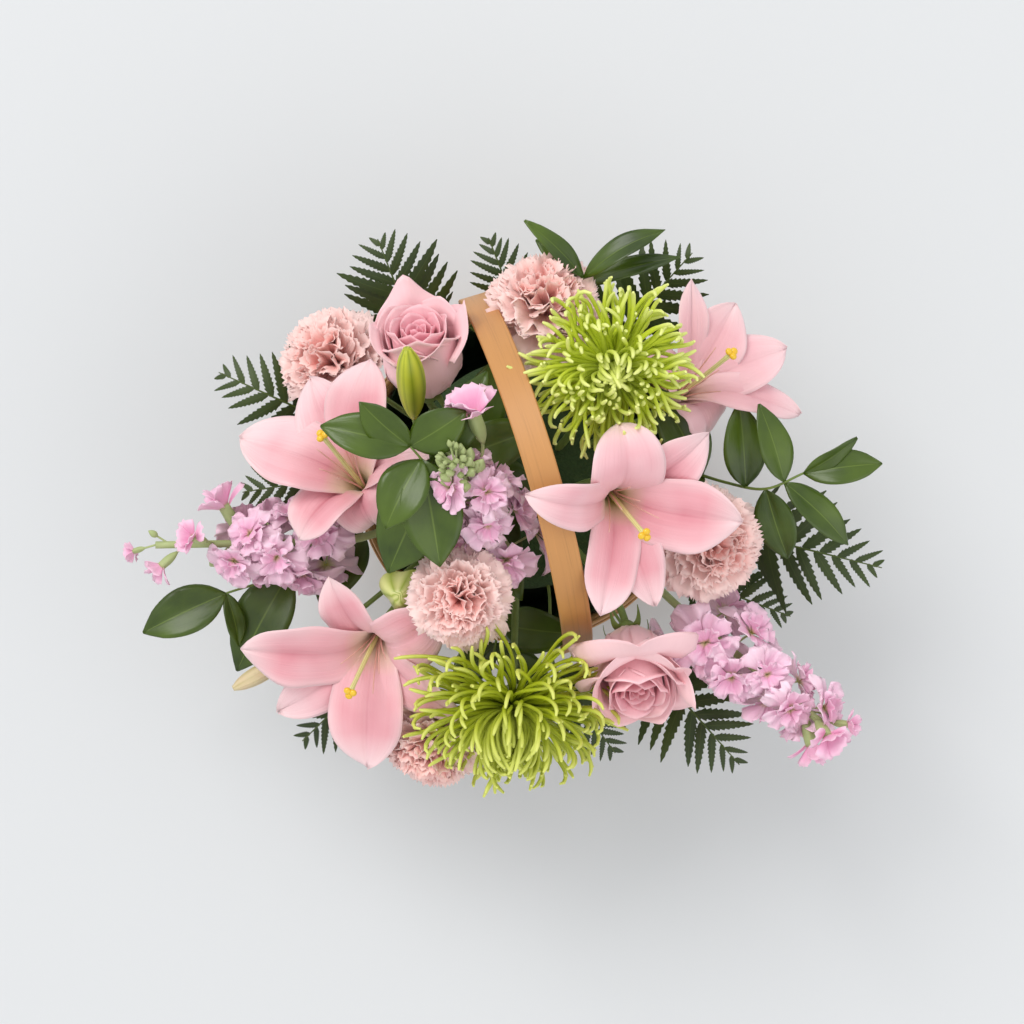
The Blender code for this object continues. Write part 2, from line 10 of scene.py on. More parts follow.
import bpy
import numpy as np
from bpy.props import FloatProperty, FloatVectorProperty, IntProperty, PointerProperty
from bpy.types import Operator, Panel, PropertyGroup
from mathutils import Matrix, Vector

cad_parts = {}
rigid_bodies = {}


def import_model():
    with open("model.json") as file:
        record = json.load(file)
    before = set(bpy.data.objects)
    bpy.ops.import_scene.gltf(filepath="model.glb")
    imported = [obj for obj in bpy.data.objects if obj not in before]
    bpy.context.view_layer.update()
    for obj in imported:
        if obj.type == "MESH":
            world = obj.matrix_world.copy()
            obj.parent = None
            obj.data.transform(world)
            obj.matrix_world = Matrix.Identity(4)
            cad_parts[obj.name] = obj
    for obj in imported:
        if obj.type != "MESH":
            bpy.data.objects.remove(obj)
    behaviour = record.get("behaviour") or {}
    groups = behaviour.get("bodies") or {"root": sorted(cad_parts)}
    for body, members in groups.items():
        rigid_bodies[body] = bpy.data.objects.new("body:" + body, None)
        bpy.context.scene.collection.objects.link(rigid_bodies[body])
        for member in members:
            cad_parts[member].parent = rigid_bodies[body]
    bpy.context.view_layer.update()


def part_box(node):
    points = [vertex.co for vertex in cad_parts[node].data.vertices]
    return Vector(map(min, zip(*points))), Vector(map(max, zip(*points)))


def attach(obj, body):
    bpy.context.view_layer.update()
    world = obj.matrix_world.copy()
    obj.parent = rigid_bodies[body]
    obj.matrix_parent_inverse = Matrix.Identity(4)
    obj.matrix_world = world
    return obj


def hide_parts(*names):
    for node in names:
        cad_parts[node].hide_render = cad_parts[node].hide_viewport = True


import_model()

bl_info = {
    "name": "Flower Basket",
    "version": (1, 0, 0),
    "blender": (4, 5, 0),
    "location": "3D View > Sidebar > Flowers",
    "description": "Builds a handled basket filled with cut flowers and foliage",
    "category": "Add Mesh",
}

MM = 0.001
GOLDEN_ANGLE = math.pi * (3 - math.sqrt(5))


def colour(red, green, blue):
    """A screen colour of 0 to 255 as Blender's linear colour."""
    levels = [value / 255 for value in (red, green, blue)]
    return (*(v / 12.92 if v <= 0.04045 else ((v + 0.055) / 1.055) ** 2.4 for v in levels), 1.0)


# Plans -------------------------------------------------------


class Place(NamedTuple):
    """Where a flower head meets its stem, which way it leans, and where the stem enters the foam."""

    base: tuple
    azimuth: float
    lean: float
    foot: tuple


class Tepal(NamedTuple):
    """One part of a lily: its turn from the way the flower leans, its length and width, and how far it opens.

    Its tip curls back from a share of the length, bends, and its middle line sweeps sideways.
    """

    turn: float
    length: float
    width: float
    opens: float = 66
    curls: float = 30
    sweep: float = 0
    bends: float = 0.5


class RosePetal(NamedTuple):
    """An outer rose petal: its turn from the way the rose leans, and how far it flares, rolls and peaks."""

    turn: float
    flare: float
    roll: float
    peak: float


class Leaf(NamedTuple):
    """A broad leaf: how far up the stem it grows, its tip, width and arch, and how it is tilted sideways."""

    share: float
    tip: tuple
    width: float
    arch: float
    tilt: float


class Spray(NamedTuple):
    """A stem of broad leaves."""

    foot: tuple
    stem: tuple
    leaves: tuple


class Frond(NamedTuple):
    """A fern frond: where the blade starts and ends, its width and droop, and where its stalk is set."""

    root: tuple
    tip: tuple
    width: float
    droop: float
    foot: tuple


LILIES = {
    "lily_left_back": (
        Place((-113, -13, 213), 129, 33, (-42, -6)),
        (
            Tepal(-16, 98, 46, 60, 24), Tepal(36, 106, 54, 66, 22), Tepal(102, 78, 44, 76, 56),
            Tepal(160, 56, 44, 76, 140, 0, 0.35), Tepal(-118, 80, 34, 74, 60), Tepal(-54, 104, 52, 62, 26),
        ),
    ),
    "lily_left_front": (
        Place((-104, -112, 188), 249, 34, (-38, -42)),
        (
            Tepal(-35, 108, 40, 72, 26), Tepal(19, 112, 56, 68, 24), Tepal(84, 104, 34, 74, 26, -8),
            Tepal(141, 86, 52, 56, 120, 0, 0.36), Tepal(-140, 92, 36, 70, 40), Tepal(-77, 116, 54, 74, 14),
        ),
    ),
    "lily_right": (
        Place((57, -12, 257), 310, 27, (27, -10)),
        (
            Tepal(-26, 98, 36, 66, 26, 6), Tepal(44, 108, 54, 70, 16), Tepal(94, 102, 40, 70, 34),
            Tepal(147, 98, 56, 46, 120, 0, 0.45), Tepal(-145, 116, 36, 56, 68, 0, 0.58),
            Tepal(-57, 100, 42, 66, 18, 4),
        ),
    ),
    "lily_right_back": (
        Place((108, 52, 203), 42, 34, (50, 22)),
        (
            Tepal(-22, 96, 44, 64, 18), Tepal(22, 86, 46, 58, 12), Tepal(58, 96, 26, 58, 6),
            Tepal(124, 74, 36, 56, 60), Tepal(-97, 50, 40, 62, 120, 0, 0.35), Tepal(-58, 102, 30, 78, 22),
        ),
    ),
}

BUDS = {
    "lily_bud_back": (Place((-77, 37, 272), 94, 44, (-32, 24)), 62, 10.4, 0),
    "lily_bud_left": (Place((-172, -136, 172), 208, 76, (-58, -48)), 46, 7.0, 0.5),
    "lily_bud_centre": (Place((-84, -80, 194), 235, 6, (-34, -22)), 54, 15.5, 1),
}

MUMS = {
    "mum_back": (Place((58, 74, 279), 285, 15, (26, 20)), "mum_lime", 61, 3),
    "mum_front": (Place((-8, -153, 214), 268, 52, (-4, -50)), "mum_leaf_green", 76, 8),
}

ROSES = {
    "rose_back": (
        Place((-68, 51, 222), 98, 48, (-26, 38)),
        "rose_blush",
        (
            RosePetal(8, 13, 2.6, 0.26), RosePetal(-84, 12, 3.2, 0.2), RosePetal(88, 7, 3.6, 0.08),
            RosePetal(152, 1, 4.0, 0.02), RosePetal(-140, 2, 4.4, 0.03), RosePetal(44, 3, 3.0, 0.03),
            RosePetal(-38, 4, 3.0, 0.05),
        ),
    ),
    "rose_front": (
        Place((73, -108, 202), 278, 50, (32, -48)),
        "rose_deep",
        (
            RosePetal(176, 26, 11.0, 0.0), RosePetal(-140, 14, 7.0, 0.02), RosePetal(136, 12, 7.0, 0.02),
            RosePetal(84, 14, 2.6, 0.2), RosePetal(-92, 8, 3.4, 0.08), RosePetal(30, 4, 2.6, 0.08),
            RosePetal(-34, 4, 2.8, 0.04), RosePetal(120, 7, 3.4, 0.05),
        ),
    ),
}

CARNATIONS = {
    "carnation_left_back": (Place((-125, 71, 168), 146, 30, (-56, 26)), 1, 1.0),
    "carnation_back": (Place((13, 98, 212), 84, 36, (0, 50)), 2, 1.06),
    "carnation_centre": (Place((-43, -84, 240), 250, 10, (-20, -30)), 3, 0.88),
    "carnation_right": (Place((119, -46, 200), 340, 26, (58, -20)), 4, 0.98),
    "carnation_front": (Place((-58, -172, 160), 250, 55, (-26, -64)), 5, 0.95),
}

STOCKS = {
    "stock_centre": (Place((-12, -54, 226), 121, 36, (-9, -14)), 118, 0.76, 34, "tight", 1),
    "stock_left": (Place((-135, -50, 186), 181, 84, (-60, -22)), 132, 0.5, 7, "loose", 2),
    "stock_right": (Place((122, -106, 194), 321, 76, (56, -44)), 122, 0.84, 6, "loose", 3),
}
SIDE_FLOWER = Place((-31, 26, 304), 108, 54, (-9, -14))

SPRAYS = {
    "ruscus_centre": Spray(
        (-14, 8),
        ((-36, 12, 190), (-54, 8, 256), (-64, 2, 300), (-78, 16, 316)),
        (
            Leaf(1.0, (-139, 30, 318), 30, 5, 8), Leaf(1.0, (-112, 46, 328), 25, 3, -24),
            Leaf(0.95, (-40, 40, 322), 30, 3, 15), Leaf(0.85, (-95, -40, 314), 34, 5, 12),
            Leaf(0.85, (-58, -66, 302), 42, 4, -10), Leaf(0.8, (-26, 68, 300), 28, 5, 10),
            Leaf(0.6, (-95, -71, 272), 48, 4, 14), Leaf(0.45, (12, 32, 246), 34, 5, 10),
            Leaf(0.35, (22, -34, 226), 36, 5, -12), Leaf(0.4, (-14, 84, 236), 34, 5, 8),
            Leaf(0.3, (-2, -92, 216), 34, 5, 12),
        ),
    ),
    "ruscus_back": Spray(
        (6, 84),
        ((16, 112, 150), (34, 128, 200), (42, 137, 243)),
        (
            Leaf(1.0, (0, 176, 258), 15, 4, 25), Leaf(0.95, (8, 164, 240), 13, 3, 0),
            Leaf(1.0, (99, 170, 252), 18, 8, -30), Leaf(0.78, (110, 152, 240), 15, 6, -22),
            Leaf(0.45, (74, 96, 214), 34, 4, 6), Leaf(0.3, (-40, 106, 188), 34, 4, -8),
        ),
    ),
    "ruscus_right": Spray(
        (80, 12),
        ((116, 4, 146), (146, -7, 192), (172, -12, 224), (198, -1, 234)),
        (
            Leaf(0.85, (166, 48, 240), 24, 3, 20), Leaf(1.0, (235, 24, 244), 14, 3, 35),
            Leaf(1.0, (254, 6, 234), 24, 5, -10), Leaf(0.9, (232, -52, 216), 22, 6, -15),
            Leaf(0.6, (153, 50, 226), 30, 3, 8), Leaf(0.4, (96, 62, 190), 36, 4, 12),
            Leaf(0.35, (92, -62, 186), 36, 4, -10), Leaf(0.75, (190, -62, 206), 28, 4, 18),
        ),
    ),
    "ruscus_left": Spray(
        (-82, -22),
        ((-122, -40, 142), (-172, -72, 162), (-218, -88, 172)),
        (
            Leaf(1.0, (-279, -117, 172), 34, 5, 8), Leaf(1.0, (-209, -128, 164), 15, 3, -30),
            Leaf(0.65, (-212, -146, 154), 42, 5, 12), Leaf(0.4, (-150, -98, 158), 38, 5, 8),
            Leaf(0.3, (-146, 22, 166), 36, 5, -8),
        ),
    ),
    "ruscus_front": Spray(
        (-12, -80),
        ((-18, -112, 140), (-24, -140, 156)),
        (
            Leaf(0.8, (-52, -156, 148), 26, 4, 10), Leaf(0.8, (22, -168, 146), 26, 4, -10),
            Leaf(0.5, (38, -118, 166), 34, 5, 10), Leaf(0.4, (-66, -104, 168), 34, 5, -10),
        ),
    ),
}

FRONDS = {
    "fern_back_left": Frond((-78, 98, 158), (-106, 169, 196), 76, 10, (-58, 62)),
    "fern_back": Frond((-2, 112, 142), (-26, 172, 174), 44, 8, (-8, 84)),
    "fern_left": Frond((-140, 36, 154), (-222, 73, 186), 66, 14, (-80, 24)),
    "fern_left_low": Frond((-130, -2, 150), (-206, -14, 172), 56, 12, (-84, 2)),
    "fern_back_right": Frond((66, 98, 150), (121, 158, 206), 72, 8, (50, 68)),
    "fern_right": Frond((158, -44, 146), (260, -69, 186), 72, 16, (80, -22)),
    "fern_right_low": Frond((124, -78, 134), (198, -106, 142), 52, 10, (66, -52)),
    "fern_front_right": Frond((98, -146, 130), (159, -215, 156), 66, 12, (46, -70)),
    "fern_front": Frond((26, -150, 120), (68, -208, 136), 56, 14, (18, -82)),
    "fern_front_left": Frond((-104, -140, 128), (-164, -198, 150), 60, 14, (-56, -62)),
}

OUTER_WHORL_DROP = 0.002
STEM_IN_FOAM = 0.012
STALK_RADIUS = 0.0008
STAKE_WIDTH = 0.009
STEM_RADIUS = {"lily": 3.0, "mum": 2.9, "rose": 3.0, "carnation": 2.0, "stock": 3.0, "bud": 2.0, "twig": 1.2}

FOAM_LOW, FOAM_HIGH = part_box("foam")
FOAM_RADIUS = FOAM_HIGH.x
FOAM_CHAMFER = 0.014
FOAM_HEART = Vector((0, 0, 0.062))


# Shapes ------------------------------------------------------


def blend(low, high, share):
    """A share of the way from low to high."""
    return low + (high - low) * share


def smooth(x, low=0.0, high=1.0):
    """0 below low, 1 above high, and an even S between."""
    share = np.clip((x - low) / (high - low), 0, 1)
    return share * share * (3 - 2 * share)


def sheet_faces(rows, columns):
    """The quads of a thin closed sheet whose lower points follow its upper ones."""
    count = rows * columns
    faces = []
    for i in range(rows - 1):
        for j in range(columns - 1):
            a = i * columns + j
            faces.append((a, a + columns, a + columns + 1, a + 1))
            faces.append((a + 1 + count, a + columns + 1 + count, a + columns + count, a + count))
    loop = [i * columns for i in range(rows)]
    loop += [(rows - 1) * columns + j for j in range(1, columns)]
    loop += [i * columns + columns - 1 for i in range(rows - 2, -1, -1)]
    loop += list(range(columns - 2, 0, -1))
    for a, b in zip(loop, loop[1:] + loop[:1]):
        faces.append((b, a, a + count, b + count))
    return faces


def rings_of(profile, segments):
    """A ring of points about the Z axis for each (radius, height) point."""
    angles = np.linspace(0, 2 * math.pi, segments, endpoint=False)
    return np.concatenate(
        [np.column_stack([r * np.cos(angles), r * np.sin(angles), np.full(segments, z)]) for r, z in profile]
    )


def ring_faces(count, sides, closed=False):
    """The quads between rings of points, and from the last ring to the first where it is closed."""
    faces = []
    for s in range(sides):
        after = (s + 1) % sides
        for k in range(count if closed else count - 1):
            low, high = k * sides, (k + 1) % count * sides
            faces.append((low + s, low + after, high + after, high + s))
    return faces


def cap_faces(count, sides):
    """The triangles from the first and the last ring to a middle point of each, which follow the rings."""
    low, last = count * sides, (count - 1) * sides
    pairs = [(s, (s + 1) % sides) for s in range(sides)]
    return [(low, after, s) for s, after in pairs] + [(low + 1, last + s, last + after) for s, after in pairs]


class Skin:
    """Thin closed sheets, tubes and rings gathered into one mesh, with the values that its materials read."""

    VALUES = ("along", "across", "under", "tone")

    def __init__(self):
        self.points = []
        self.faces = []
        self.finish = []
        self.flat = []
        self.values = {key: [] for key in self.VALUES}
        self.count = 0

    def add(self, points, faces, finish, rim=0, **values):
        """Adds one closed shape whose last faces are its rim.

        Each value is one number, or one for each point.
        """
        self.points.append(points)
        self.flat += [False] * (len(faces) - rim) + [True] * rim
        self.faces += [tuple(corner + self.count for corner in face) for face in faces]
        self.finish += [finish] * len(faces)
        for key in self.VALUES:
            self.values[key].append(np.broadcast_to(values.get(key, 0.0), len(points)))
        self.count += len(points)

    def sheet(self, grid, thickness, tone=0.5, finish=0, edge=0.35):
        """A petal or leaf from a grid of points: rows run from its base to its tip, columns across it."""
        rows, columns = grid.shape[:2]
        along = np.linspace(0, 1, rows)[:, None] * np.ones(columns)
        across = np.ones((rows, 1)) * np.linspace(-1, 1, columns)
        normal = np.cross(np.gradient(grid, axis=0), np.gradient(grid, axis=1))
        normal /= np.maximum(np.linalg.norm(normal, axis=2, keepdims=True), 1e-12)
        thin = edge + (1 - edge) * (1 - across**4) * (1 - along**10)
        half = (thickness / 2 * thin)[..., None] * normal
        points = np.concatenate([(grid + half).reshape(-1, 3), (grid - half).reshape(-1, 3)])
        under = np.repeat([0.0, 1.0], rows * columns)
        values = {"along": np.tile(along.ravel(), 2), "across": np.tile(across.ravel(), 2)}
        rim = 2 * (rows + columns - 2)
        self.add(points, sheet_faces(rows, columns), finish, rim, under=under, tone=tone, **values)

    def tube(self, line, radii, sides=8, tone=0.5, finish=0, flutes=0, depth=0.0):
        """A round or fluted bar along a line."""
        line = np.asarray(line, float)
        count = len(line)
        radii = np.broadcast_to(radii, count)
        tangents = np.gradient(line, axis=0)
        tangents /= np.linalg.norm(tangents, axis=1, keepdims=True)
        normal = np.cross(tangents[0], [0.31, 0.87, 0.38])
        angles = np.linspace(0, 2 * math.pi, sides, endpoint=False)
        swell = 1 + depth * np.cos(flutes * angles)
        rings = []
        for centre, tangent, radius in zip(line, tangents, radii):
            normal = normal - tangent * normal.dot(tangent)
            normal /= np.linalg.norm(normal)
            side = np.cross(tangent, normal)
            spoke = np.outer(np.cos(angles) * swell, normal) + np.outer(np.sin(angles) * swell, side)
            rings.append(centre + radius * spoke)
        points = np.concatenate([*rings, line[:1], line[-1:]])
        faces = ring_faces(count, sides) + cap_faces(count, sides)
        along = np.append(np.repeat(np.linspace(0, 1, count), sides), [0, 1])
        across = np.append(np.tile(np.linspace(-1, 1, sides), count), [0, 0])
        self.add(points, faces, finish, along=along, across=across, tone=tone)

    def hoop(self, profile, segments=120, tone=0.5, finish=0):
        """A closed outline of (radius, height) points, anticlockwise, turned about the Z axis."""
        size = len(profile)
        points = rings_of(profile, segments)
        faces = ring_faces(size, segments, closed=True)
        along = np.tile(np.linspace(0, 1, segments), size)
        across = np.repeat(np.linspace(-1, 1, size), segments)
        self.add(points, faces, finish, along=along, across=across, tone=tone)

    def turned(self, profile, segments=96, tone=0.5, finish=0):
        """A solid of (radius, height) points, from the axis at the bottom to the axis at the top."""
        low, *rings, high = profile
        points = np.concatenate([rings_of(rings, segments), [[0, 0, low[1]]], [[0, 0, high[1]]]])
        faces = ring_faces(len(rings), segments) + cap_faces(len(rings), segments)
        self.add(points, faces, finish, tone=tone)

    def mesh(self, name, *finishes):
        """The finished mesh, smooth, with its values stored on its points."""
        made = bpy.data.meshes.new(name)
        made.from_pydata(np.concatenate(self.points).tolist(), [], self.faces)
        for key, values in self.values.items():
            made.attributes.new(key, "FLOAT", "POINT").data.foreach_set("value", np.concatenate(values))
        made.attributes.new("finish", "INT", "FACE").data.foreach_set("value", self.finish)
        for finish in finishes:
            made.materials.append(finish)
        if finishes:
            made.polygons.foreach_set("material_index", self.finish)
        made.shade_smooth()
        made.attributes.new("sharp_face", "BOOLEAN", "FACE").data.foreach_set("value", self.flat)
        return made


def upright(low, high, count):
    """Points up the Z axis."""
    return np.column_stack([np.zeros(count), np.zeros(count), np.linspace(low, high, count)])


def arc(centre, reach, angles):
    """Points of a round or an oval about a centre, at angles in degrees."""
    turns = [math.radians(angle) for angle in angles]
    return [(centre[0] + reach[0] * math.cos(a), centre[1] + reach[1] * math.sin(a)) for a in turns]


def facing(place):
    """The matrix to a head's place from the origin, where it opens along +Z and leans towards +X."""
    turn = Matrix.Rotation(math.radians(place.azimuth), 4, "Z")
    lean = Matrix.Rotation(math.radians(place.lean), 4, "Y")
    return Matrix.Translation(Vector(place.base) * MM) @ turn @ lean


def foam_surface(foot):
    """The point of the foam's surface at a foot: on its top, or on its side near the edge."""
    x, y = foot[0] * MM, foot[1] * MM
    out = math.hypot(x, y)
    flat = FOAM_RADIUS - FOAM_CHAMFER
    if out <= flat:
        return Vector((x, y, FOAM_HIGH.z))
    edge = min(out, FOAM_RADIUS) / out
    return Vector((x * edge, y * edge, FOAM_HIGH.z - min(1, (out - flat) / FOAM_CHAMFER) * FOAM_CHAMFER))


def bezier(start, start_way, end, end_way, count):
    """Points along a curve that leaves start along start_way and arrives at end along end_way."""
    reach = (end - start).length / 3
    a, b = start + start_way * reach, end - end_way * reach
    shares = [i / (count - 1) for i in range(count)]
    return [
        start * (1 - t) ** 3 + a * 3 * (1 - t) ** 2 * t + b * 3 * (1 - t) * t * t + end * t**3 for t in shares
    ]


def smooth_line(knots, each):
    """Points of a Catmull-Rom curve through the knots."""
    ends = [2 * knots[0] - knots[1], *knots, 2 * knots[-1] - knots[-2]]
    found = []
    for a, b, c, d in zip(ends, ends[1:], ends[2:], ends[3:]):
        for i in range(each):
            t = i / each
            found.append(
                b
                + (c - a) * (t / 2)
                + (a - 2.5 * b + 2 * c - d / 2) * t * t
                + (1.5 * b - a / 2 - 1.5 * c + d / 2) * t**3
            )
    return [*found, knots[-1]]


def stem_line(place):
    """The middle line of a flower's stem, from inside the foam to the underside of its head."""
    foot = foam_surface(place.foot)
    way = (foot - FOAM_HEART).normalized()
    matrix = facing(place)
    axis = matrix.to_3x3() @ Vector((0, 0, 1))
    return [foot - way * STEM_IN_FOAM, *bezier(foot, way, matrix.translation + axis * 0.004, axis, 14)]


def checked(node, place):
    """The place, once its base is known to lie in the solid that it belongs to."""
    low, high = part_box(node)
    margin = 0.004
    if any(not low[i] - margin <= place.base[i] * MM <= high[i] + margin for i in range(3)):
        raise ValueError(f"{node} has its head outside its solid's box")
    return place


def linked(made):
    """The same object, put on the scene."""
    bpy.context.scene.collection.objects.link(made)
    return made


def show(name, mesh, node):
    """A finished piece of the object, which stands for a CAD node."""
    made = linked(bpy.data.objects.new(name, mesh))
    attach(made, "root")
    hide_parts(node)


def show_skin(name, skin, node, slot, *tints, matrix=None):
    """A finished piece made from a skin in the named materials, carried to its place."""
    mesh = skin.mesh(name, *(finishes(tint) for tint in tints))
    if matrix:
        mesh.transform(matrix)
    show(name, mesh, node)


def show_stem(node, line, radius, slot, tint="stem_green"):
    """The bare stem of a node."""
    skin = Skin()
    skin.tube(line, radius * MM * np.linspace(1.05, 0.9, len(line)), 10)
    show_skin(node + "_stem", skin, node, slot, tint)


# Geometry Nodes ----------------------------------------------

SOCKETS = {
    "INT": "NodeSocketInt",
    "FLOAT": "NodeSocketFloat",
    "MATERIAL": "NodeSocketMaterial",
    "COLLECTION": "NodeSocketCollection",
    "OBJECT": "NodeSocketObject",
}


class Tree:
    """A Geometry Nodes tree that is put together node by node."""

    def __init__(self, name, **inputs):
        self.group = bpy.data.node_groups.new(name, "GeometryNodeTree")
        self.group.interface.new_socket("Geometry", in_out="INPUT", socket_type="NodeSocketGeometry")
        self.group.interface.new_socket("Geometry", in_out="OUTPUT", socket_type="NodeSocketGeometry")
        for label, (kind, default) in inputs.items():
            label = label.replace("_", " ")
            socket = self.group.interface.new_socket(label, in_out="INPUT", socket_type=SOCKETS[kind])
            if default is not None:
                socket.default_value = default
        self.inputs = self.group.nodes.new("NodeGroupInput")

    def __getitem__(self, label):
        """One of the tree's own inputs."""
        return self.inputs.outputs[label]

    def node(self, kind, links=(), output=None, **settings):
        """A node with its settings and inputs. Returns its first output that is in use, or the one named."""
        made = self.group.nodes.new(kind)
        for key, value in settings.items():
            setattr(made, key, value)
        for label, value in dict(links).items():
            socket = self.enabled(made.inputs, label)
            if isinstance(value, bpy.types.NodeSocket):
                self.group.links.new(value, socket)
            else:
                socket.default_value = value
        return self.enabled(made.outputs, output)

    @staticmethod
    def enabled(sockets, label):
        """The socket in use with a label, or at a position, or the first."""
        in_use = [socket for socket in sockets if socket.enabled]
        if isinstance(label, int):
            return in_use[label]
        return next(socket for socket in in_use if label in (None, socket.name))

    def maths(self, operation, *values):
        """A Math node."""
        return self.node("ShaderNodeMath", dict(enumerate(values)), operation=operation)

    def plus(self, a, b):
        """The sum of two numbers."""
        return self.maths("ADD", a, b)

    def minus(self, a, b):
        """One number less another."""
        return self.maths("SUBTRACT", a, b)

    def times(self, first, *others):
        """The product of two numbers or more."""
        for other in others:
            first = self.maths("MULTIPLY", first, other)
        return first

    def over(self, a, b):
        """One number divided by another."""
        return self.maths("DIVIDE", a, b)

    def between(self, low, high, share):
        """A share of the way from low to high."""
        return self.node("ShaderNodeMapRange", {"Value": share, "To Min": low, "To Max": high}, clamp=False)

    def random(self, low, high, index, seed):
        """A number for each index."""
        links = {"Min": low, "Max": high, "ID": index, "Seed": seed}
        return self.node("FunctionNodeRandomValue", links, data_type="FLOAT")

    def vector(self, x=0.0, y=0.0, z=0.0):
        """A vector of three numbers."""
        return self.node("ShaderNodeCombineXYZ", {"X": x, "Y": y, "Z": z})

    def vectors(self, operation, *values):
        """A Vector Math node."""
        return self.node("ShaderNodeVectorMath", dict(enumerate(values)), operation=operation)

    def scaled(self, vector, amount):
        """A vector times a number."""
        return self.node("ShaderNodeVectorMath", {0: vector, "Scale": amount}, operation="SCALE")

    def polar(self, out, turn, rise):
        """The position at a distance from the Z axis, a turn about it, and a height."""
        x, y = (self.times(out, self.maths(part, turn)) for part in ("COSINE", "SINE"))
        return self.vector(x, y, rise)

    def stored(self, geometry, name, value, domain="POINT", kind="FLOAT"):
        """Geometry with a named value stored on it."""
        links = {"Geometry": geometry, "Name": name, "Value": value}
        return self.node("GeometryNodeStoreNamedAttribute", links, data_type=kind, domain=domain)

    def named(self, name, kind="FLOAT"):
        """A named value stored on the geometry."""
        return self.node("GeometryNodeInputNamedAttribute", {"Name": name}, data_type=kind)

    def upright(self, count):
        """A line along Z with a number of points."""
        line = self.node("GeometryNodeCurvePrimitiveLine", {"Start": (0, 0, 0), "End": (0, 0, 1)})
        return self.node("GeometryNodeResampleCurve", {"Curve": line, "Count": count})

    def repeated(self, line, count):
        """Copies of a line, to be bent by their index."""
        points = self.node("GeometryNodePoints", {"Count": count})
        lines = self.node("GeometryNodeInstanceOnPoints", {"Points": points, "Instance": line})
        return self.node("GeometryNodeRealizeInstances", {"Geometry": lines})

    def moved(self, geometry, place):
        """Geometry with its points at new positions."""
        return self.node("GeometryNodeSetPosition", {"Geometry": geometry, "Position": place})

    def sampled(self, curve, factor):
        """The position, tangent and normal at a share of a curve."""
        made = self.group.nodes.new("GeometryNodeSampleCurve")
        made.mode = "FACTOR"
        made.use_all_curves = True
        self.group.links.new(curve, made.inputs["Curves"])
        self.group.links.new(factor, self.enabled(made.inputs, "Factor"))
        return [made.outputs[label] for label in ("Position", "Tangent", "Normal")]

    def picked(self, label):
        """The patterns in one of the tree's collections."""
        links = {"Collection": self[label], "Separate Children": True, "Reset Children": True}
        return self.node("GeometryNodeCollectionInfo", links)

    def copies(self, points, instance, rotation, scale, pick=False):
        """A turned and scaled copy of an instance, or of one of several, on each point."""
        links = {"Points": points, "Instance": instance, "Pick Instance": pick, "Rotation": rotation}
        return self.node("GeometryNodeInstanceOnPoints", {**links, "Scale": scale})

    def joined(self, *parts):
        """Several geometries as one."""
        made = self.group.nodes.new("GeometryNodeJoinGeometry")
        for part in parts:
            self.group.links.new(part, made.inputs[0])
        return made.outputs[0]

    def round(self, sides, radius):
        """A round outline."""
        return self.node("GeometryNodeCurvePrimitiveCircle", {"Resolution": sides, "Radius": radius})

    def flat(self, width, height):
        """A flat outline."""
        return self.node("GeometryNodeCurvePrimitiveQuadrilateral", {"Width": width, "Height": height})

    def factor(self):
        """The share of a curve's length at each of its points."""
        return self.node("GeometryNodeSplineParameter", output="Factor")

    def line_number(self):
        """The number of the curve that each point is on."""
        return self.node("GeometryNodeCurveOfPoint", output="Curve Index")

    def swept(self, line, profile, scale=1.0):
        """A smooth bar: a profile swept along a line."""
        links = {"Curve": line, "Profile Curve": profile, "Scale": scale, "Fill Caps": True}
        bar = self.node("GeometryNodeCurveToMesh", links)
        return self.node("GeometryNodeSetShadeSmooth", {"Geometry": bar, "Shade Smooth": True})

    def finish(self, geometry, *labels):
        """Realizes the instances, sets one material for each value of finish, and ends the tree."""
        geometry = self.node("GeometryNodeRealizeInstances", {"Geometry": geometry})
        kind = self.named("finish", "INT")
        for index, label in enumerate(labels):
            links = {"A": kind, "B": index}
            chosen = self.node("FunctionNodeCompare", links, data_type="INT", operation="EQUAL")
            links = {"Geometry": geometry, "Selection": chosen, "Material": self[label]}
            geometry = self.node("GeometryNodeSetMaterial", links)
        end = self.group.nodes.new("NodeGroupOutput")
        self.group.links.new(geometry, end.inputs[0])
        return self.group


def grown(name, tree, source=None, **values):
    """The plain mesh that a tree makes from a source and its inputs."""
    carrier = linked(bpy.data.objects.new(name, source or bpy.data.meshes.new(name)))
    modifier = carrier.modifiers.new("Nodes", "NODES")
    modifier.node_group = tree
    identifiers = {item.name: item.identifier for item in tree.interface.items_tree if item.in_out == "INPUT"}
    for label, value in values.items():
        modifier[identifiers[label.replace("_", " ")]] = value
    graph = bpy.context.evaluated_depsgraph_get()
    mesh = bpy.data.meshes.new_from_object(carrier.evaluated_get(graph))
    mesh.name = name
    bpy.data.objects.remove(carrier)
    return mesh


def patterns(name, meshes):
    """A collection of meshes for a tree to pick from."""
    made = bpy.data.collections.new(name)
    bpy.context.scene.collection.children.link(made)
    for index, mesh in enumerate(meshes):
        made.objects.link(bpy.data.objects.new(f"{name}_{index}", mesh))
    return made


def cleared(collection):
    """Removes a collection of patterns."""
    for pattern in list(collection.objects):
        bpy.data.objects.remove(pattern)
    bpy.data.collections.remove(collection)


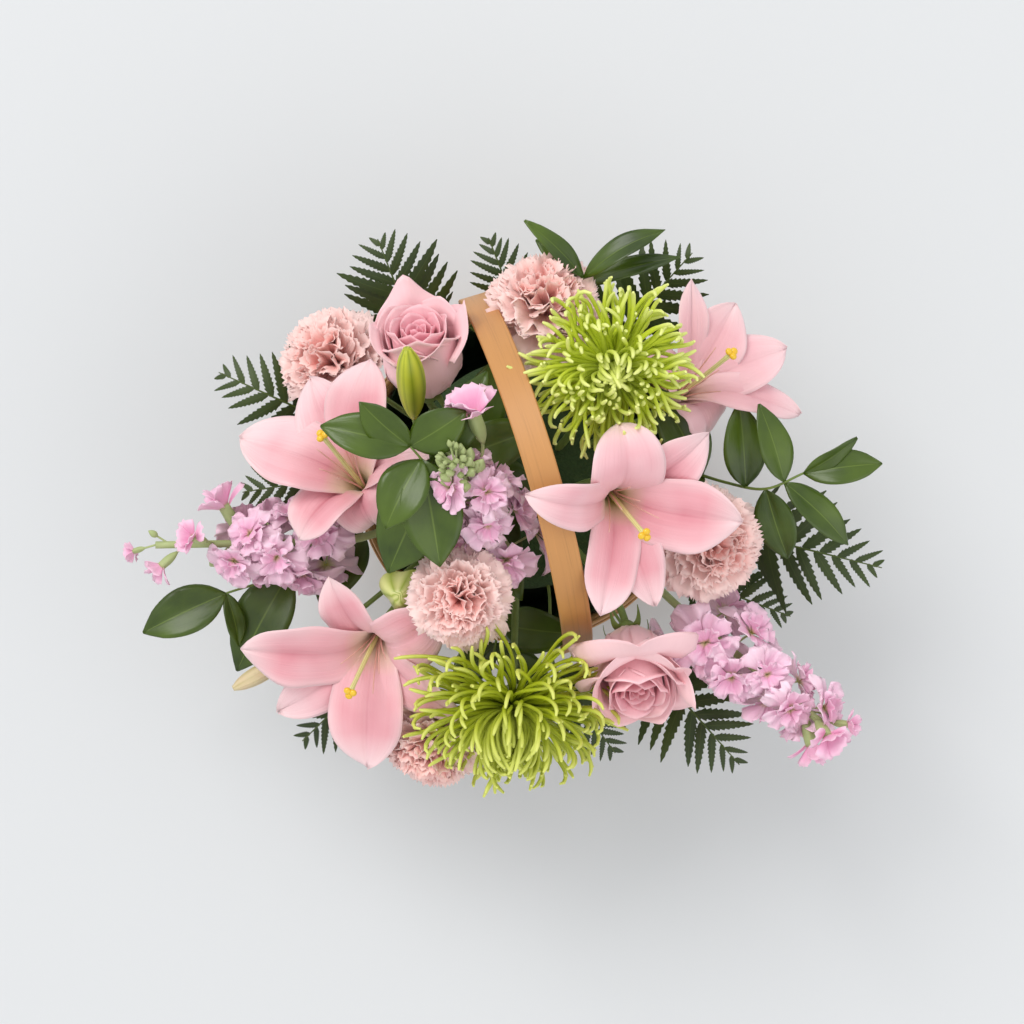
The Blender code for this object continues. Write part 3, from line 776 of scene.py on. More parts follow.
def floret_tree():
    """Long tubular florets in a spiral, hooked at their tips and curled inwards over the middle."""
    tree = Tree(
        "Spider Florets", Florets=("INT", 170), Radius=("FLOAT", 0.062), Tube=("FLOAT", 0.00125),
        Hook=("FLOAT", 3.4), Seed=("INT", 0), Finish=("MATERIAL", None)
    )
    steps, sides = 18, 6
    florets = tree.repeated(tree.upright(steps), tree["Florets"])
    index = tree.line_number()
    along = tree.factor()
    seed = tree["Seed"]
    radius = tree["Radius"]
    share = tree.maths("SQRT", tree.over(tree.plus(index, 0.5), tree["Florets"]))
    links = {"Value": share, "From Min": 0.2, "From Max": 0.86}
    outer = tree.node("ShaderNodeMapRange", links, interpolation_type="SMOOTHSTEP")
    start = tree.between(0.5, 1.6, share)
    start = tree.plus(start, tree.random(-0.24, 0.24, index, seed))
    bend = tree.times(tree.between(-1.8, 0.3, outer), along)
    tip = tree.maths("POWER", along, tree.between(3.0, 5.5, outer))
    hook = tree.times(tree["Hook"], tree.random(-0.1, 1.2, index, tree.plus(seed, 1)), outer, tip)
    angle = tree.minus(tree.plus(start, bend), hook)
    uneven = tree.random(0.74, 1.1, index, tree.plus(seed, 2))
    length = tree.times(tree.between(0.58, 1.02, share), radius, uneven)
    step = tree.over(length, steps - 1)
    totals = []
    for part in ("SINE", "COSINE"):
        links = {"Value": tree.times(tree.maths(part, angle), step), "Group ID": index}
        totals.append(tree.node("GeometryNodeAccumulateField", links, "Trailing", data_type="FLOAT"))
    out = tree.plus(totals[0], tree.times(share, tree.times(radius, 0.1)))
    rise = tree.between(0.17, 0.0, tree.maths("POWER", share, 2.0))
    rise = tree.plus(totals[1], tree.times(rise, radius))
    sway = tree.times(tree.random(-0.34, 0.34, index, tree.plus(seed, 3)), along)
    beat = tree.random(3.0, 7.0, index, tree.plus(seed, 4))
    wave = tree.maths("SINE", tree.times(along, beat))
    wave = tree.times(wave, tree.random(-0.16, 0.16, index, tree.plus(seed, 5)))
    sway = tree.plus(sway, wave)
    turn = tree.plus(tree.times(index, GOLDEN_ANGLE), sway)
    florets = tree.stored(florets, "along", along)
    florets = tree.stored(florets, "tone", share)
    florets = tree.moved(florets, tree.polar(out, turn, rise))
    length_share = tree.named("along")
    blunt = tree.times(tree.maths("POWER", length_share, 26.0), 0.55)
    swell = tree.minus(tree.between(0.8, 1.2, length_share), blunt)
    return tree.finish(tree.swept(florets, tree.round(sides, tree["Tube"]), swell), "Finish")


def whorl_tree():
    """Petals in a spiral, upright in the middle and spread at the edge, crumpled by a noise."""
    tree = Tree(
        "Whorled Petals", Petals=("INT", 40), Patterns=("COLLECTION", None), Inner_Tilt=("FLOAT", 0.1),
        Outer_Tilt=("FLOAT", 1.5), Inner_Size=("FLOAT", 0.6), Outer_Size=("FLOAT", 1.0),
        Lift=("FLOAT", 0.004), Crumple=("FLOAT", 0.003), Crumple_Scale=("FLOAT", 90.0), Seed=("INT", 0),
        Petal_Finish=("MATERIAL", None), Green_Finish=("MATERIAL", None)
    )
    seed = tree["Seed"]
    points = tree.node("GeometryNodePoints", {"Count": tree["Petals"]})
    index = tree.node("GeometryNodeInputIndex")
    share = tree.over(tree.plus(index, 0.5), tree["Petals"])
    lift = tree.times(tree.minus(1.0, share), tree["Lift"])
    points = tree.moved(points, tree.vector(z=lift))
    points = tree.stored(points, "depth", share)
    tilt = tree.between(tree["Inner Tilt"], tree["Outer Tilt"], tree.maths("POWER", share, 0.8))
    tilt = tree.plus(tilt, tree.random(-0.16, 0.16, index, seed))
    turn = tree.times(index, GOLDEN_ANGLE)
    turn = tree.plus(turn, tree.random(-0.3, 0.3, index, tree.plus(seed, 1)))
    rotation = tree.node("FunctionNodeEulerToRotation", {"Euler": tree.vector(0.0, tilt, turn)})
    size = tree.between(tree["Inner Size"], tree["Outer Size"], share)
    size = tree.times(size, tree.random(0.9, 1.08, index, tree.plus(seed, 2)))
    petals = tree.copies(points, tree.picked("Patterns"), rotation, tree.vector(size, size, size), pick=True)
    petals = tree.node("GeometryNodeRealizeInstances", {"Geometry": petals})
    place = tree.node("GeometryNodeInputPosition")
    shifted = tree.vectors("ADD", place, tree.vector(seed, seed, 0.0))
    links = {"Vector": shifted, "Scale": tree["Crumple Scale"], "Detail": 1.0}
    noise = tree.node("ShaderNodeTexNoise", links, "Color")
    noise = tree.vectors("SUBTRACT", noise, (0.5, 0.5, 0.5))
    amount = tree.times(tree["Crumple"], tree.named("along"))
    offset = tree.scaled(noise, amount)
    petals = tree.node("GeometryNodeSetPosition", {"Geometry": petals, "Offset": offset})
    return tree.finish(petals, "Petal Finish", "Green Finish")


def spike_tree():
    """Flowers and buds in a spiral up a stem, smaller towards its tip."""
    tree = Tree(
        "Flower Spike", Flowers=("INT", 14), Buds=("INT", 9), Flower_Patterns=("COLLECTION", None),
        Bud_Patterns=("COLLECTION", None), Open_Share=("FLOAT", 0.6), Reach=("FLOAT", 0.018), Seed=("INT", 0),
        Petal_Finish=("MATERIAL", None), Green_Finish=("MATERIAL", None)
    )
    stem = tree["Geometry"]
    seed = tree["Seed"]
    groups = []
    for count, source, low, high, first_size, last_size in (
        ("Flowers", "Flower Patterns", 0.0, tree["Open Share"], 1.05, 0.8),
        ("Buds", "Bud Patterns", tree["Open Share"], 1.0, 1.15, 0.55),
    ):
        index = tree.node("GeometryNodeInputIndex")
        share = tree.over(index, tree.minus(tree[count], 1.0))
        factor = tree.between(low, high, share)
        spot, tangent, normal = tree.sampled(stem, factor)
        side = tree.vectors("CROSS_PRODUCT", tangent, normal)
        turn = tree.times(index, GOLDEN_ANGLE)
        turn = tree.plus(turn, tree.random(-0.35, 0.35, index, seed))
        outward = tree.scaled(normal, tree.maths("COSINE", turn))
        outward = tree.vectors("ADD", outward, tree.scaled(side, tree.maths("SINE", turn)))
        upward = tree.between(0.15, 1.5, tree.maths("POWER", factor, 1.6))
        forward = tree.scaled(tangent, upward)
        way = tree.vectors("NORMALIZE", tree.vectors("ADD", outward, forward))
        reach = tree.times(tree["Reach"], tree.between(1.25, 0.7, factor))
        spot = tree.vectors("ADD", spot, tree.scaled(way, reach))
        points = tree.node("GeometryNodePoints", {"Count": tree[count], "Position": spot})
        axes = {"Primary Axis": way, "Secondary Axis": tangent}
        rotation = tree.node("FunctionNodeAxesToRotation", axes, primary_axis="Z", secondary_axis="X")
        size = tree.between(first_size, last_size, share)
        size = tree.times(size, tree.random(0.88, 1.1, index, tree.plus(seed, 5)))
        rod = {"Vertices": 8, "Radius": STALK_RADIUS, "Depth": 1.0}
        stalk = tree.node("GeometryNodeMeshCylinder", rod, "Mesh")
        stalk = tree.node("GeometryNodeTransform", {"Geometry": stalk, "Translation": (0, 0, -0.5)})
        stalk = tree.stored(stalk, "finish", 1, "FACE", "INT")
        groups.append(tree.copies(points, stalk, rotation, tree.vector(1.0, 1.0, reach)))
        heads = tree.picked(source)
        groups.append(tree.copies(points, heads, rotation, tree.vector(size, size, size), pick=True))
    return tree.finish(tree.joined(*groups), "Petal Finish", "Green Finish")


def frond_tree():
    """Leaflets in pairs along a rib, longest near its root, and the rib itself."""
    tree = Tree(
        "Fern Frond", Pairs=("INT", 13), Leaflet=("OBJECT", None), Width=("FLOAT", 0.07),
        Rib=("FLOAT", 0.0008), Droop=("FLOAT", 0.25), Seed=("INT", 0), Finish=("MATERIAL", None)
    )
    rib = tree["Geometry"]
    seed = tree["Seed"]
    groups = []
    for side_sign in (-1.0, 1.0):
        index = tree.node("GeometryNodeInputIndex")
        share = tree.over(tree.plus(index, 0.35 + 0.15 * side_sign), tree["Pairs"])
        spot, tangent, _ = tree.sampled(rib, share)
        side = tree.vectors("NORMALIZE", tree.vectors("CROSS_PRODUCT", (0, 0, 1), tangent))
        up = tree.vectors("CROSS_PRODUCT", tangent, side)
        spread = tree.between(1.25, 0.55, share)
        spread = tree.plus(spread, tree.random(-0.08, 0.08, index, tree.plus(seed, side_sign)))
        fall = tree.times(tree["Droop"], tree.random(-0.4, 1.6, index, seed))
        forward = tree.scaled(tangent, tree.maths("COSINE", spread))
        sideways = tree.scaled(side, tree.times(tree.maths("SINE", spread), side_sign))
        way = tree.vectors("ADD", forward, sideways)
        way = tree.vectors("SUBTRACT", way, tree.scaled(up, fall))
        axes = {"Primary Axis": tree.vectors("NORMALIZE", way), "Secondary Axis": up}
        rotation = tree.node("FunctionNodeAxesToRotation", axes, primary_axis="X", secondary_axis="Z")
        taper = tree.minus(1.0, tree.maths("POWER", share, 1.9))
        start = tree.node("ShaderNodeMapRange", {"Value": share, "From Max": 0.16, "To Min": 0.62})
        size = tree.times(taper, start, tree["Width"])
        size = tree.plus(tree.times(size, 0.56), 0.006)
        size = tree.times(size, tree.random(0.9, 1.08, index, tree.plus(seed, 7)))
        points = tree.node("GeometryNodePoints", {"Count": tree["Pairs"], "Position": spot})
        points = tree.stored(points, "depth", share)
        leaflet = tree.node("GeometryNodeObjectInfo", {"Object": tree["Leaflet"]}, "Geometry")
        broad = tree.maths("MAXIMUM", size, 0.02)
        groups.append(tree.copies(points, leaflet, rotation, tree.vector(size, broad, size)))
    bar = tree.swept(rib, tree.round(6, tree["Rib"]), tree.between(1.4, 0.5, tree.factor()))
    return tree.finish(tree.joined(*groups, bar), "Finish")


def weave_tree():
    """Flat strips woven round upright stakes on a bellied, tapered wall."""
    tree = Tree(
        "Woven Wall", Rows=("INT", 13), Stakes=("INT", 30), Bottom=("FLOAT", 0.0), Top=("FLOAT", 0.11),
        Bottom_Radius=("FLOAT", 0.099), Top_Radius=("FLOAT", 0.123), Belly=("FLOAT", 0.003),
        Strip=("FLOAT", 0.0008), Finish=("MATERIAL", None)
    )
    stakes, strip = tree["Stakes"], tree["Strip"]
    height = tree.minus(tree["Top"], tree["Bottom"])
    pitch = tree.over(height, tree["Rows"])

    def wall(share, offset):
        """The radius of the wall at a share of its height."""
        radius = tree.between(tree["Bottom Radius"], tree["Top Radius"], share)
        belly = tree.times(tree.maths("SINE", tree.times(share, math.pi)), tree["Belly"])
        return tree.plus(tree.plus(radius, belly), offset)

    row = tree.line_number()
    along = tree.factor()
    share = tree.over(tree.plus(row, 0.5), tree["Rows"])
    turn = tree.times(along, 2 * math.pi)
    wave = tree.times(turn, tree.over(stakes, 2.0))
    wave = tree.maths("SINE", tree.plus(wave, tree.times(row, math.pi)))
    offset = tree.times(wave, tree.times(strip, 1.05))
    weavers = tree.repeated(tree.round(240, 1.0), tree["Rows"])
    weavers = tree.stored(weavers, "along", along)
    weavers = tree.stored(weavers, "tone", tree.random(0.0, 1.0, row, 3))
    rise = tree.plus(tree["Bottom"], tree.times(share, height))
    weavers = tree.moved(weavers, tree.polar(wall(share, offset), turn, rise))
    weavers = tree.node("GeometryNodeSetCurveNormal", {"Curve": weavers}, mode="Z_UP")
    weavers = tree.swept(weavers, tree.flat(strip, tree.times(pitch, 0.94)))
    stake = tree.line_number()
    upward = tree.factor()
    stake_turn = tree.times(tree.over(tree.plus(stake, 0.5), stakes), 2 * math.pi)
    uprights = tree.repeated(tree.upright(12), stakes)
    uprights = tree.stored(uprights, "along", upward)
    uprights = tree.stored(uprights, "tone", tree.random(0.0, 1.0, stake, 8))
    rise = tree.plus(tree["Bottom"], tree.times(upward, height))
    uprights = tree.moved(uprights, tree.polar(wall(upward, 0.0), stake_turn, rise))
    uprights = tree.node("GeometryNodeSetCurveNormal", {"Curve": uprights}, mode="MINIMUM_TWIST")
    uprights = tree.swept(uprights, tree.flat(STAKE_WIDTH, strip))
    return tree.finish(tree.joined(weavers, uprights), "Finish")


# Finishes ----------------------------------------------------


class Finish:
    """A Principled material that is put together node by node."""

    def __init__(self, name, roughness=0.5, **sockets):
        self.material = bpy.data.materials.new(name + "_finish")
        self.material.use_nodes = True
        self.nodes = self.material.node_tree.nodes
        self.links = self.material.node_tree.links
        self.shader = self.nodes["Principled BSDF"]
        self.shader.inputs["Roughness"].default_value = roughness
        for label, value in sockets.items():
            self.shader.inputs[label.replace("_", " ")].default_value = value

    def node(self, kind, links=(), output=0, **settings):
        """A node with its settings and inputs. Returns one output."""
        made = self.nodes.new(kind)
        for key, value in settings.items():
            setattr(made, key, value)
        self.fill(made, dict(links))
        return made.outputs[output]

    def fill(self, made, links):
        """Links a node's inputs, or sets them to plain values."""
        for label, value in links.items():
            if isinstance(value, bpy.types.NodeSocket):
                self.links.new(value, made.inputs[label])
            else:
                made.inputs[label].default_value = value

    def value(self, name):
        """A value stored on the mesh."""
        return self.node("ShaderNodeAttribute", output="Fac", attribute_name=name)

    def scaled(self, name, amount):
        """A value stored on the mesh, times an amount."""
        return self.node("ShaderNodeMath", {0: self.value(name), 1: amount}, operation="MULTIPLY")

    def spread(self, across, along, tone):
        """The place on a sheet or strip: a vector of its stored values, each times an amount."""
        amounts = {"X": self.scaled("across", across), "Y": self.scaled("along", along)}
        return self.node("ShaderNodeCombineXYZ", {**amounts, "Z": self.scaled("tone", tone)})

    def maths(self, operation, *values):
        """A Math node, clamped to 0 and 1."""
        return self.node("ShaderNodeMath", dict(enumerate(values)), operation=operation, use_clamp=True)

    def times(self, a, b):
        """The product of two numbers, clamped to 0 and 1."""
        return self.maths("MULTIPLY", a, b)

    def fade(self, share, *stops):
        """A grey ramp of (position, level) stops."""
        return self.ramp(share, *((position, (level, level, level, 1)) for position, level in stops))

    def ramp(self, share, *stops):
        """A colour ramp of (position, colour) stops."""
        made = self.nodes.new("ShaderNodeValToRGB")
        elements = made.color_ramp.elements
        while len(elements) < len(stops):
            elements.new(0.5)
        for element, (position, tint) in zip(elements, stops):
            element.position = position
            element.color = tint
        self.links.new(share, made.inputs["Fac"])
        return made.outputs["Color"]

    def mix(self, share, a, b, blend_type="MIX"):
        """A mix of two colours."""
        made = self.nodes.new("ShaderNodeMix")
        made.data_type = "RGBA"
        made.blend_type = blend_type
        self.fill(made, {0: share, 6: a, 7: b})
        return made.outputs[2]

    def noise(self, scale, detail=3.0, vector=None, roughness=0.5):
        """A noise, on Object coordinates unless a vector is given."""
        vector = vector or self.node("ShaderNodeTexCoord", output="Object")
        links = {"Vector": vector, "Scale": scale, "Detail": detail, "Roughness": roughness}
        return self.node("ShaderNodeTexNoise", links, "Fac")

    def streaks(self, fineness, length=1.0):
        """Fine lines that run from a petal's base to its tip."""
        return self.noise(1.0, 2.0, self.spread(fineness, length, 17.0))

    def bump(self, height, strength=0.3, distance=0.0005):
        """Relief from a height."""
        normal = self.node("ShaderNodeBump", {"Height": height, "Strength": strength, "Distance": distance})
        self.links.new(normal, self.shader.inputs["Normal"])

    def colour(self, tint):
        """The colour of the surface. Returns the material."""
        self.links.new(tint, self.shader.inputs["Base Color"])
        return self.material


def lily_finish(name, props, pale=0.0):
    """A lily's petal: green-gold at the throat, deeper along its midrib, pale at its edge and tip."""
    made = Finish(name, 0.42, Sheen_Weight=0.25)
    along, across = made.value("along"), made.maths("ABSOLUTE", made.value("across"))
    body, edge = tuple(props.petal), tuple(props.edge)
    throat = colour(178, 170, 70)
    cream = colour(228, 205, 170)
    lengthwise = made.ramp(
        along, (0.0, throat), (0.13, throat), (0.22, cream), (0.36, body), (0.74, body), (0.97, edge)
    )
    deep = made.mix(1.0, lengthwise, (0.80, 0.55, 0.60, 1), "MULTIPLY")
    rib = made.fade(across, (0.0, 1), (0.05, 0.6), (0.42, 0))
    reach = made.fade(along, (0.12, 0), (0.35, 1), (0.62, 1), (0.92, 0))
    rib = made.times(rib, reach)
    cloud = made.times(made.noise(26.0, 3.0), 1.7)
    tint = made.mix(made.times(rib, cloud), lengthwise, deep)
    margin = made.fade(across, (0.62, 0), (0.9, 0.55), (1.0, 1))
    tint = made.mix(made.times(margin, made.maths("ADD", along, 0.1)), tint, edge)
    under = made.times(made.value("under"), 0.35)
    tint = made.mix(under, tint, colour(224, 180, 182))
    veins = made.streaks(16.0, 1.6)
    tint = made.mix(made.times(veins, 0.34), tint, (0.82, 0.56, 0.62, 1), "MULTIPLY")
    patches = made.fade(made.noise(17.0, 2.0), (0.42, 0), (0.72, 0.6))
    tint = made.mix(patches, tint, colour(250, 216, 221))
    tint = made.mix(pale, tint, colour(243, 205, 212))
    made.bump(veins, 0.55, 0.0008)
    return made.colour(tint)


def mum_finish(name, root, body, tip):
    """A spider mum's florets, pale at their tips and in the middle."""
    made = Finish(name, 0.42)
    tint = made.ramp(made.value("along"), (0.0, root), (0.3, body), (0.72, body), (0.98, tip))
    centre = made.fade(made.value("tone"), (0.2, 0.7), (0.66, 0))
    tint = made.mix(centre, tint, tip)
    spots = made.noise(60.0, 2.0)
    tint = made.mix(made.times(spots, 0.5), tint, (0.8, 0.82, 0.5, 1), "MULTIPLY")
    made.bump(made.noise(400.0, 1.0), 0.15, 0.0003)
    return made.colour(tint)


def rose_finish(name, heart, body, rim):
    """A rose petal: deeper in the heart, paler towards the outside and the rims."""
    made = Finish(name, 0.48, Sheen_Weight=0.15)
    tint = made.ramp(made.value("tone"), (0.0, heart), (0.45, body), (1.0, rim))
    top = made.fade(made.value("along"), (0.72, 0), (1.0, 0.65))
    tint = made.mix(top, tint, rim)
    foot = made.fade(made.value("along"), (0.0, 0.8), (0.3, 0))
    tint = made.mix(foot, tint, colour(226, 206, 160))
    veins = made.streaks(26.0, 2.0)
    tint = made.mix(made.times(veins, 0.18), tint, (0.82, 0.6, 0.66, 1), "MULTIPLY")
    made.bump(veins, 0.3, 0.0004)
    return made.colour(tint)


def ruffled_finish(name, heart, body, rim, green):
    """A carnation's or stock's petal: deep inside, paler at the fringe."""
    made = Finish(name, 0.6, Sheen_Weight=0.2)
    tint = made.ramp(made.value("depth"), (0.0, heart), (0.45, body), (1.0, rim))
    top = made.fade(made.value("along"), (0.55, 0), (1.0, 0.6))
    tint = made.mix(top, tint, rim)
    foot = made.fade(made.value("along"), (0.0, 1), (0.34, 0))
    tint = made.mix(foot, tint, green)
    veins = made.streaks(13.0, 1.5)
    tint = made.mix(made.times(veins, 0.2), tint, (0.9, 0.7, 0.76, 1), "MULTIPLY")
    made.bump(veins, 0.4, 0.0005)
    return made.colour(tint)


def leaf_finish(name, body, light, vein, roughness):
    """A leaf: a pale midrib, fine veins, and lighter patches that are partly uneven green and partly a
    painted highlight.
    """
    made = Finish(name, roughness, Specular_IOR_Level=0.5)
    # Lighter patches by a noise: partly the leaf's own uneven green, partly a painted highlight of the glossy
    # leaves.
    tint = made.mix(made.fade(made.noise(22.0, 3.0), (0.3, 0), (0.75, 1)), body, light)
    veins = made.streaks(9.0, 14.0)
    tint = made.mix(made.times(veins, 0.25), tint, light)
    across = made.maths("ABSOLUTE", made.value("across"))
    rib = made.fade(across, (0.0, 0.7), (0.05, 0))
    tint = made.mix(rib, tint, vein)
    under = made.times(made.value("under"), 0.6)
    tint = made.mix(under, tint, vein)
    made.bump(made.streaks(12.0, 9.0), 0.25, 0.0004)
    return made.colour(tint)


def stem_finish(name, body, light):
    """A green stem or calyx."""
    made = Finish(name, 0.5)
    tint = made.mix(made.noise(70.0, 3.0), body, light)
    made.bump(made.streaks(8.0, 3.0), 0.2, 0.0003)
    return made.colour(tint)


def bud_finish(name, body, light, blush, blush_share):
    """A closed bud with pale ridges and tinted patches."""
    made = Finish(name, 0.4)
    wave = made.node("ShaderNodeMath", {0: made.scaled("across", 3 * math.pi)}, operation="COSINE")
    ridge = made.maths("ABSOLUTE", wave)
    tint = made.mix(ridge, body, light)
    patch = made.times(made.noise(90.0, 3.0), blush_share)
    tint = made.mix(patch, tint, blush)
    made.bump(made.streaks(20.0, 2.0), 0.3, 0.0004)
    return made.colour(tint)


def gold_finish():
    """The sticky golden stigma."""
    made = Finish("stigma_gold", 0.35, Coat_Weight=0.3)
    tint = made.mix(made.noise(300.0, 2.0), colour(226, 168, 10), colour(250, 214, 60))
    made.bump(made.noise(500.0, 2.0), 0.5, 0.0005)
    return made.colour(tint)


def wood_finish(name, props_colour, lengthwise, contrast):
    """Split wood with its grain along the strip."""
    made = Finish(name, 0.45, Coat_Weight=0.15, Coat_Roughness=0.35)
    body = tuple(props_colour)
    dark = tuple(value * (1 - contrast) for value in body[:3]) + (1,)
    light = tuple(min(1, value * 1.22) for value in body[:3]) + (1,)
    place = made.spread(7.0, lengthwise, 31.0)
    grain = made.noise(1.0, 6.0, place, 0.62)
    tint = made.ramp(grain, (0.25, dark), (0.45, body), (0.62, body), (0.85, light))
    place = made.node("ShaderNodeVectorMath", {0: place, 1: (9.0, 2.5, 1.0)}, operation="MULTIPLY")
    fine = made.noise(1.0, 3.0, place, 0.7)
    tint = made.mix(made.times(fine, 0.45), tint, dark)
    made.bump(fine, 0.25, 0.0004)
    return made.colour(tint)


def plain_finishes():
    """The brass, the liner's plastic and the foam."""
    brass = Finish("brass", 0.32, Metallic=1.0)
    brass.bump(brass.noise(900.0, 2.0), 0.1, 0.0002)
    made = [brass.colour(brass.mix(brass.noise(220.0), colour(190, 150, 84), colour(226, 196, 132)))]
    plastic = Finish("liner_plastic", 0.35)
    plastic.bump(plastic.noise(120.0), 0.08, 0.0004)
    made.append(plastic.colour(plastic.mix(plastic.noise(30.0), colour(34, 52, 34), colour(48, 70, 46))))
    foam = Finish("floral_foam", 0.95)
    pores = foam.noise(700.0, 3.0)
    foam.bump(pores, 0.8, 0.0012)
    made.append(foam.colour(foam.mix(pores, colour(40, 60, 30), colour(66, 92, 50))))
    return made


def build_finishes(scene):
    """Makes every material of the object."""
    lily, bloom, green, basket = scene.lily_plan, scene.bloom_plan, scene.foliage_plan, scene.basket_plan
    lily_finish("lily_pink", lily)
    lily_finish("lily_blush", lily, 0.42)
    mum_finish("mum_lime", colour(138, 156, 18), tuple(bloom.back_mum), colour(236, 242, 152))
    mum_finish("mum_leaf_green", colour(92, 112, 8), tuple(bloom.front_mum), colour(224, 230, 120))
    rose_finish("rose_blush", colour(242, 122, 156), tuple(bloom.rose), colour(254, 216, 220))
    rose_finish("rose_deep", colour(212, 62, 100), tuple(bloom.rose), colour(254, 214, 218))
    carnation, stock = tuple(bloom.carnation), tuple(bloom.stock)
    ruffled_finish(
        "carnation_pink", colour(253, 194, 186), carnation, colour(255, 229, 224), colour(250, 168, 158)
    )
    ruffled_finish("stock_lilac", colour(243, 182, 214), stock, colour(254, 224, 240), colour(190, 196, 84))
    # The lighter green goes to the veins and to the noise patches, which are partly a painted highlight.
    leaf_finish("ruscus_green", tuple(green.ruscus), colour(84, 108, 24), colour(108, 130, 50), 0.32)
    leaf_finish("fern_green", tuple(green.fern), colour(58, 76, 20), colour(80, 98, 34), 0.5)
    stem_finish("stem_green", colour(88, 112, 44), colour(128, 146, 72))
    stem_finish("calyx_green", colour(138, 156, 90), colour(192, 202, 148))
    bud_finish("bud_green", colour(136, 152, 12), colour(196, 202, 56), colour(92, 78, 14), 0.2)
    bud_finish("bud_cream", colour(186, 184, 120), colour(222, 216, 166), colour(214, 160, 150), 0.6)
    bud_finish("bud_pale", colour(150, 172, 50), colour(222, 226, 150), colour(200, 200, 110), 0.3)
    bud_finish("filament", colour(226, 170, 160), colour(240, 200, 186), colour(196, 96, 90), 0.4)
    bud_finish("style_green", colour(206, 200, 120), colour(236, 228, 170), colour(180, 190, 90), 0.4)
    gold_finish()
    wood_finish("handle_wood", basket.handle_wood, 7.0, 0.26)
    wood_finish("chipwood", basket.wood, 26.0, 0.45)
    plain_finishes()


def finishes(name):
    """A material by name."""
    return bpy.data.materials[name + "_finish"]


# Basket ------------------------------------------------------

BASKET_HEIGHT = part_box("basket_wall")[1].z
RIM_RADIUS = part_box("basket_wall")[1].x
FLOOR_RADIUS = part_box("basket_floor")[1].x
BASE_RADIUS = FLOOR_RADIUS + 0.0028
WALL = 0.0025
BAND = 0.0022
GAP = 0.0003
BELLY = 0.003
HANDLE_WIDTH = 0.022
HANDLE_THICKNESS = 0.003
HANDLE_TURN = math.radians(-73.5)
HANDLE_LEAN = 0.011
HANDLE_SPRING_Z = 0.150
HANDLE_HALF_SPAN = 0.1345


def wall_radius(height):
    """The outer radius of the basket's wall."""
    share = height / BASKET_HEIGHT
    return blend(BASE_RADIUS, RIM_RADIUS, share) + BELLY * math.sin(math.pi * share)


def band_profile(low, high, inner, outer):
    """The rounded outline of a band that follows the wall, anticlockwise.

    Offsets are from the wall's outside.
    """
    ease = min(0.0007, (outer - inner) / 3)
    middle = blend(low, high, 0.5)
    foot, waist, top = (wall_radius(height) for height in (low, middle, high))
    return [
        (foot + inner + ease, low), (foot + outer - ease, low),
        (foot + outer, low + ease), (waist + outer, middle), (top + outer, high - ease),
        (top + outer - ease, high), (top + inner + ease, high),
        (top + inner, high - ease), (waist + inner, middle), (foot + inner, low + ease),
    ]


def build_basket(props):
    """The woven wall, its floor and its bands."""
    wall = grown(
        "basket_wall_weave", weave_tree(), Rows=props.rows, Stakes=props.stakes, Top=BASKET_HEIGHT - 0.001,
        Bottom=0.001, Bottom_Radius=BASE_RADIUS - WALL / 2, Top_Radius=RIM_RADIUS - WALL / 2, Belly=BELLY,
        Finish=finishes("chipwood")
    )
    show("basket_wall_weave", wall, "basket_wall")
    floor = Skin()
    ease, top = 0.001, 0.005
    flat = FLOOR_RADIUS - ease
    floor.turned([(0, 0), (flat, 0), (FLOOR_RADIUS, ease), (FLOOR_RADIUS, top - ease), (flat, top), (0, top)])
    show_skin("basket_floor_disc", floor, "basket_floor", "chipwood", "chipwood")
    rim_low, rim_high = (corner.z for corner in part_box("rim_band_outer"))
    foot_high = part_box("foot_band")[1].z
    for node, low, high, inner, outer in (
        ("foot_band", 0.0, foot_high, GAP, GAP + BAND),
        ("rim_band_outer", rim_low, rim_high, GAP, GAP + BAND),
        ("rim_band_inner", rim_low, rim_high, -WALL - GAP - BAND, -WALL - GAP),
    ):
        band = Skin()
        band.hoop(band_profile(low, high, inner, outer), 144)
        show_skin(node + "_strip", band, node, "chipwood", "chipwood")
    reed_low, reed_high = (corner.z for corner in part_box("rim_reed"))
    radius = (reed_high - reed_low) / 2
    middle = RIM_RADIUS - WALL / 2
    reed = Skin()
    reed.hoop(arc((middle, reed_low + radius), (radius, radius), range(0, 360, 30)), 144)
    show_skin("rim_reed_round", reed, "rim_reed", "chipwood", "chipwood")


def handle_line():
    """The handle's middle line, from one foot over the arch to the other."""
    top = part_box("handle")[1].z
    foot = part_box("handle")[0].z
    offset = GAP + BAND + GAP + HANDLE_THICKNESS / 2
    leg = [(wall_radius(z) + offset, z) for z in np.linspace(foot, BASKET_HEIGHT, 16)]
    rise = top - HANDLE_THICKNESS / 2 - HANDLE_SPRING_Z
    arch = []
    for angle in np.linspace(0, math.pi, 73):
        lift = max(0.0, math.sin(angle)) ** 0.94
        arch.append((HANDLE_HALF_SPAN * math.cos(angle), HANDLE_SPRING_Z + rise * lift))
    outline = [*leg, *arch, *((-out, z) for out, z in reversed(leg))]
    line = []
    for out, z in outline:
        share = max(0.0, (z - BASKET_HEIGHT) / (top - BASKET_HEIGHT))
        line.append((out, HANDLE_LEAN * share**2, z))
    return np.array(line)


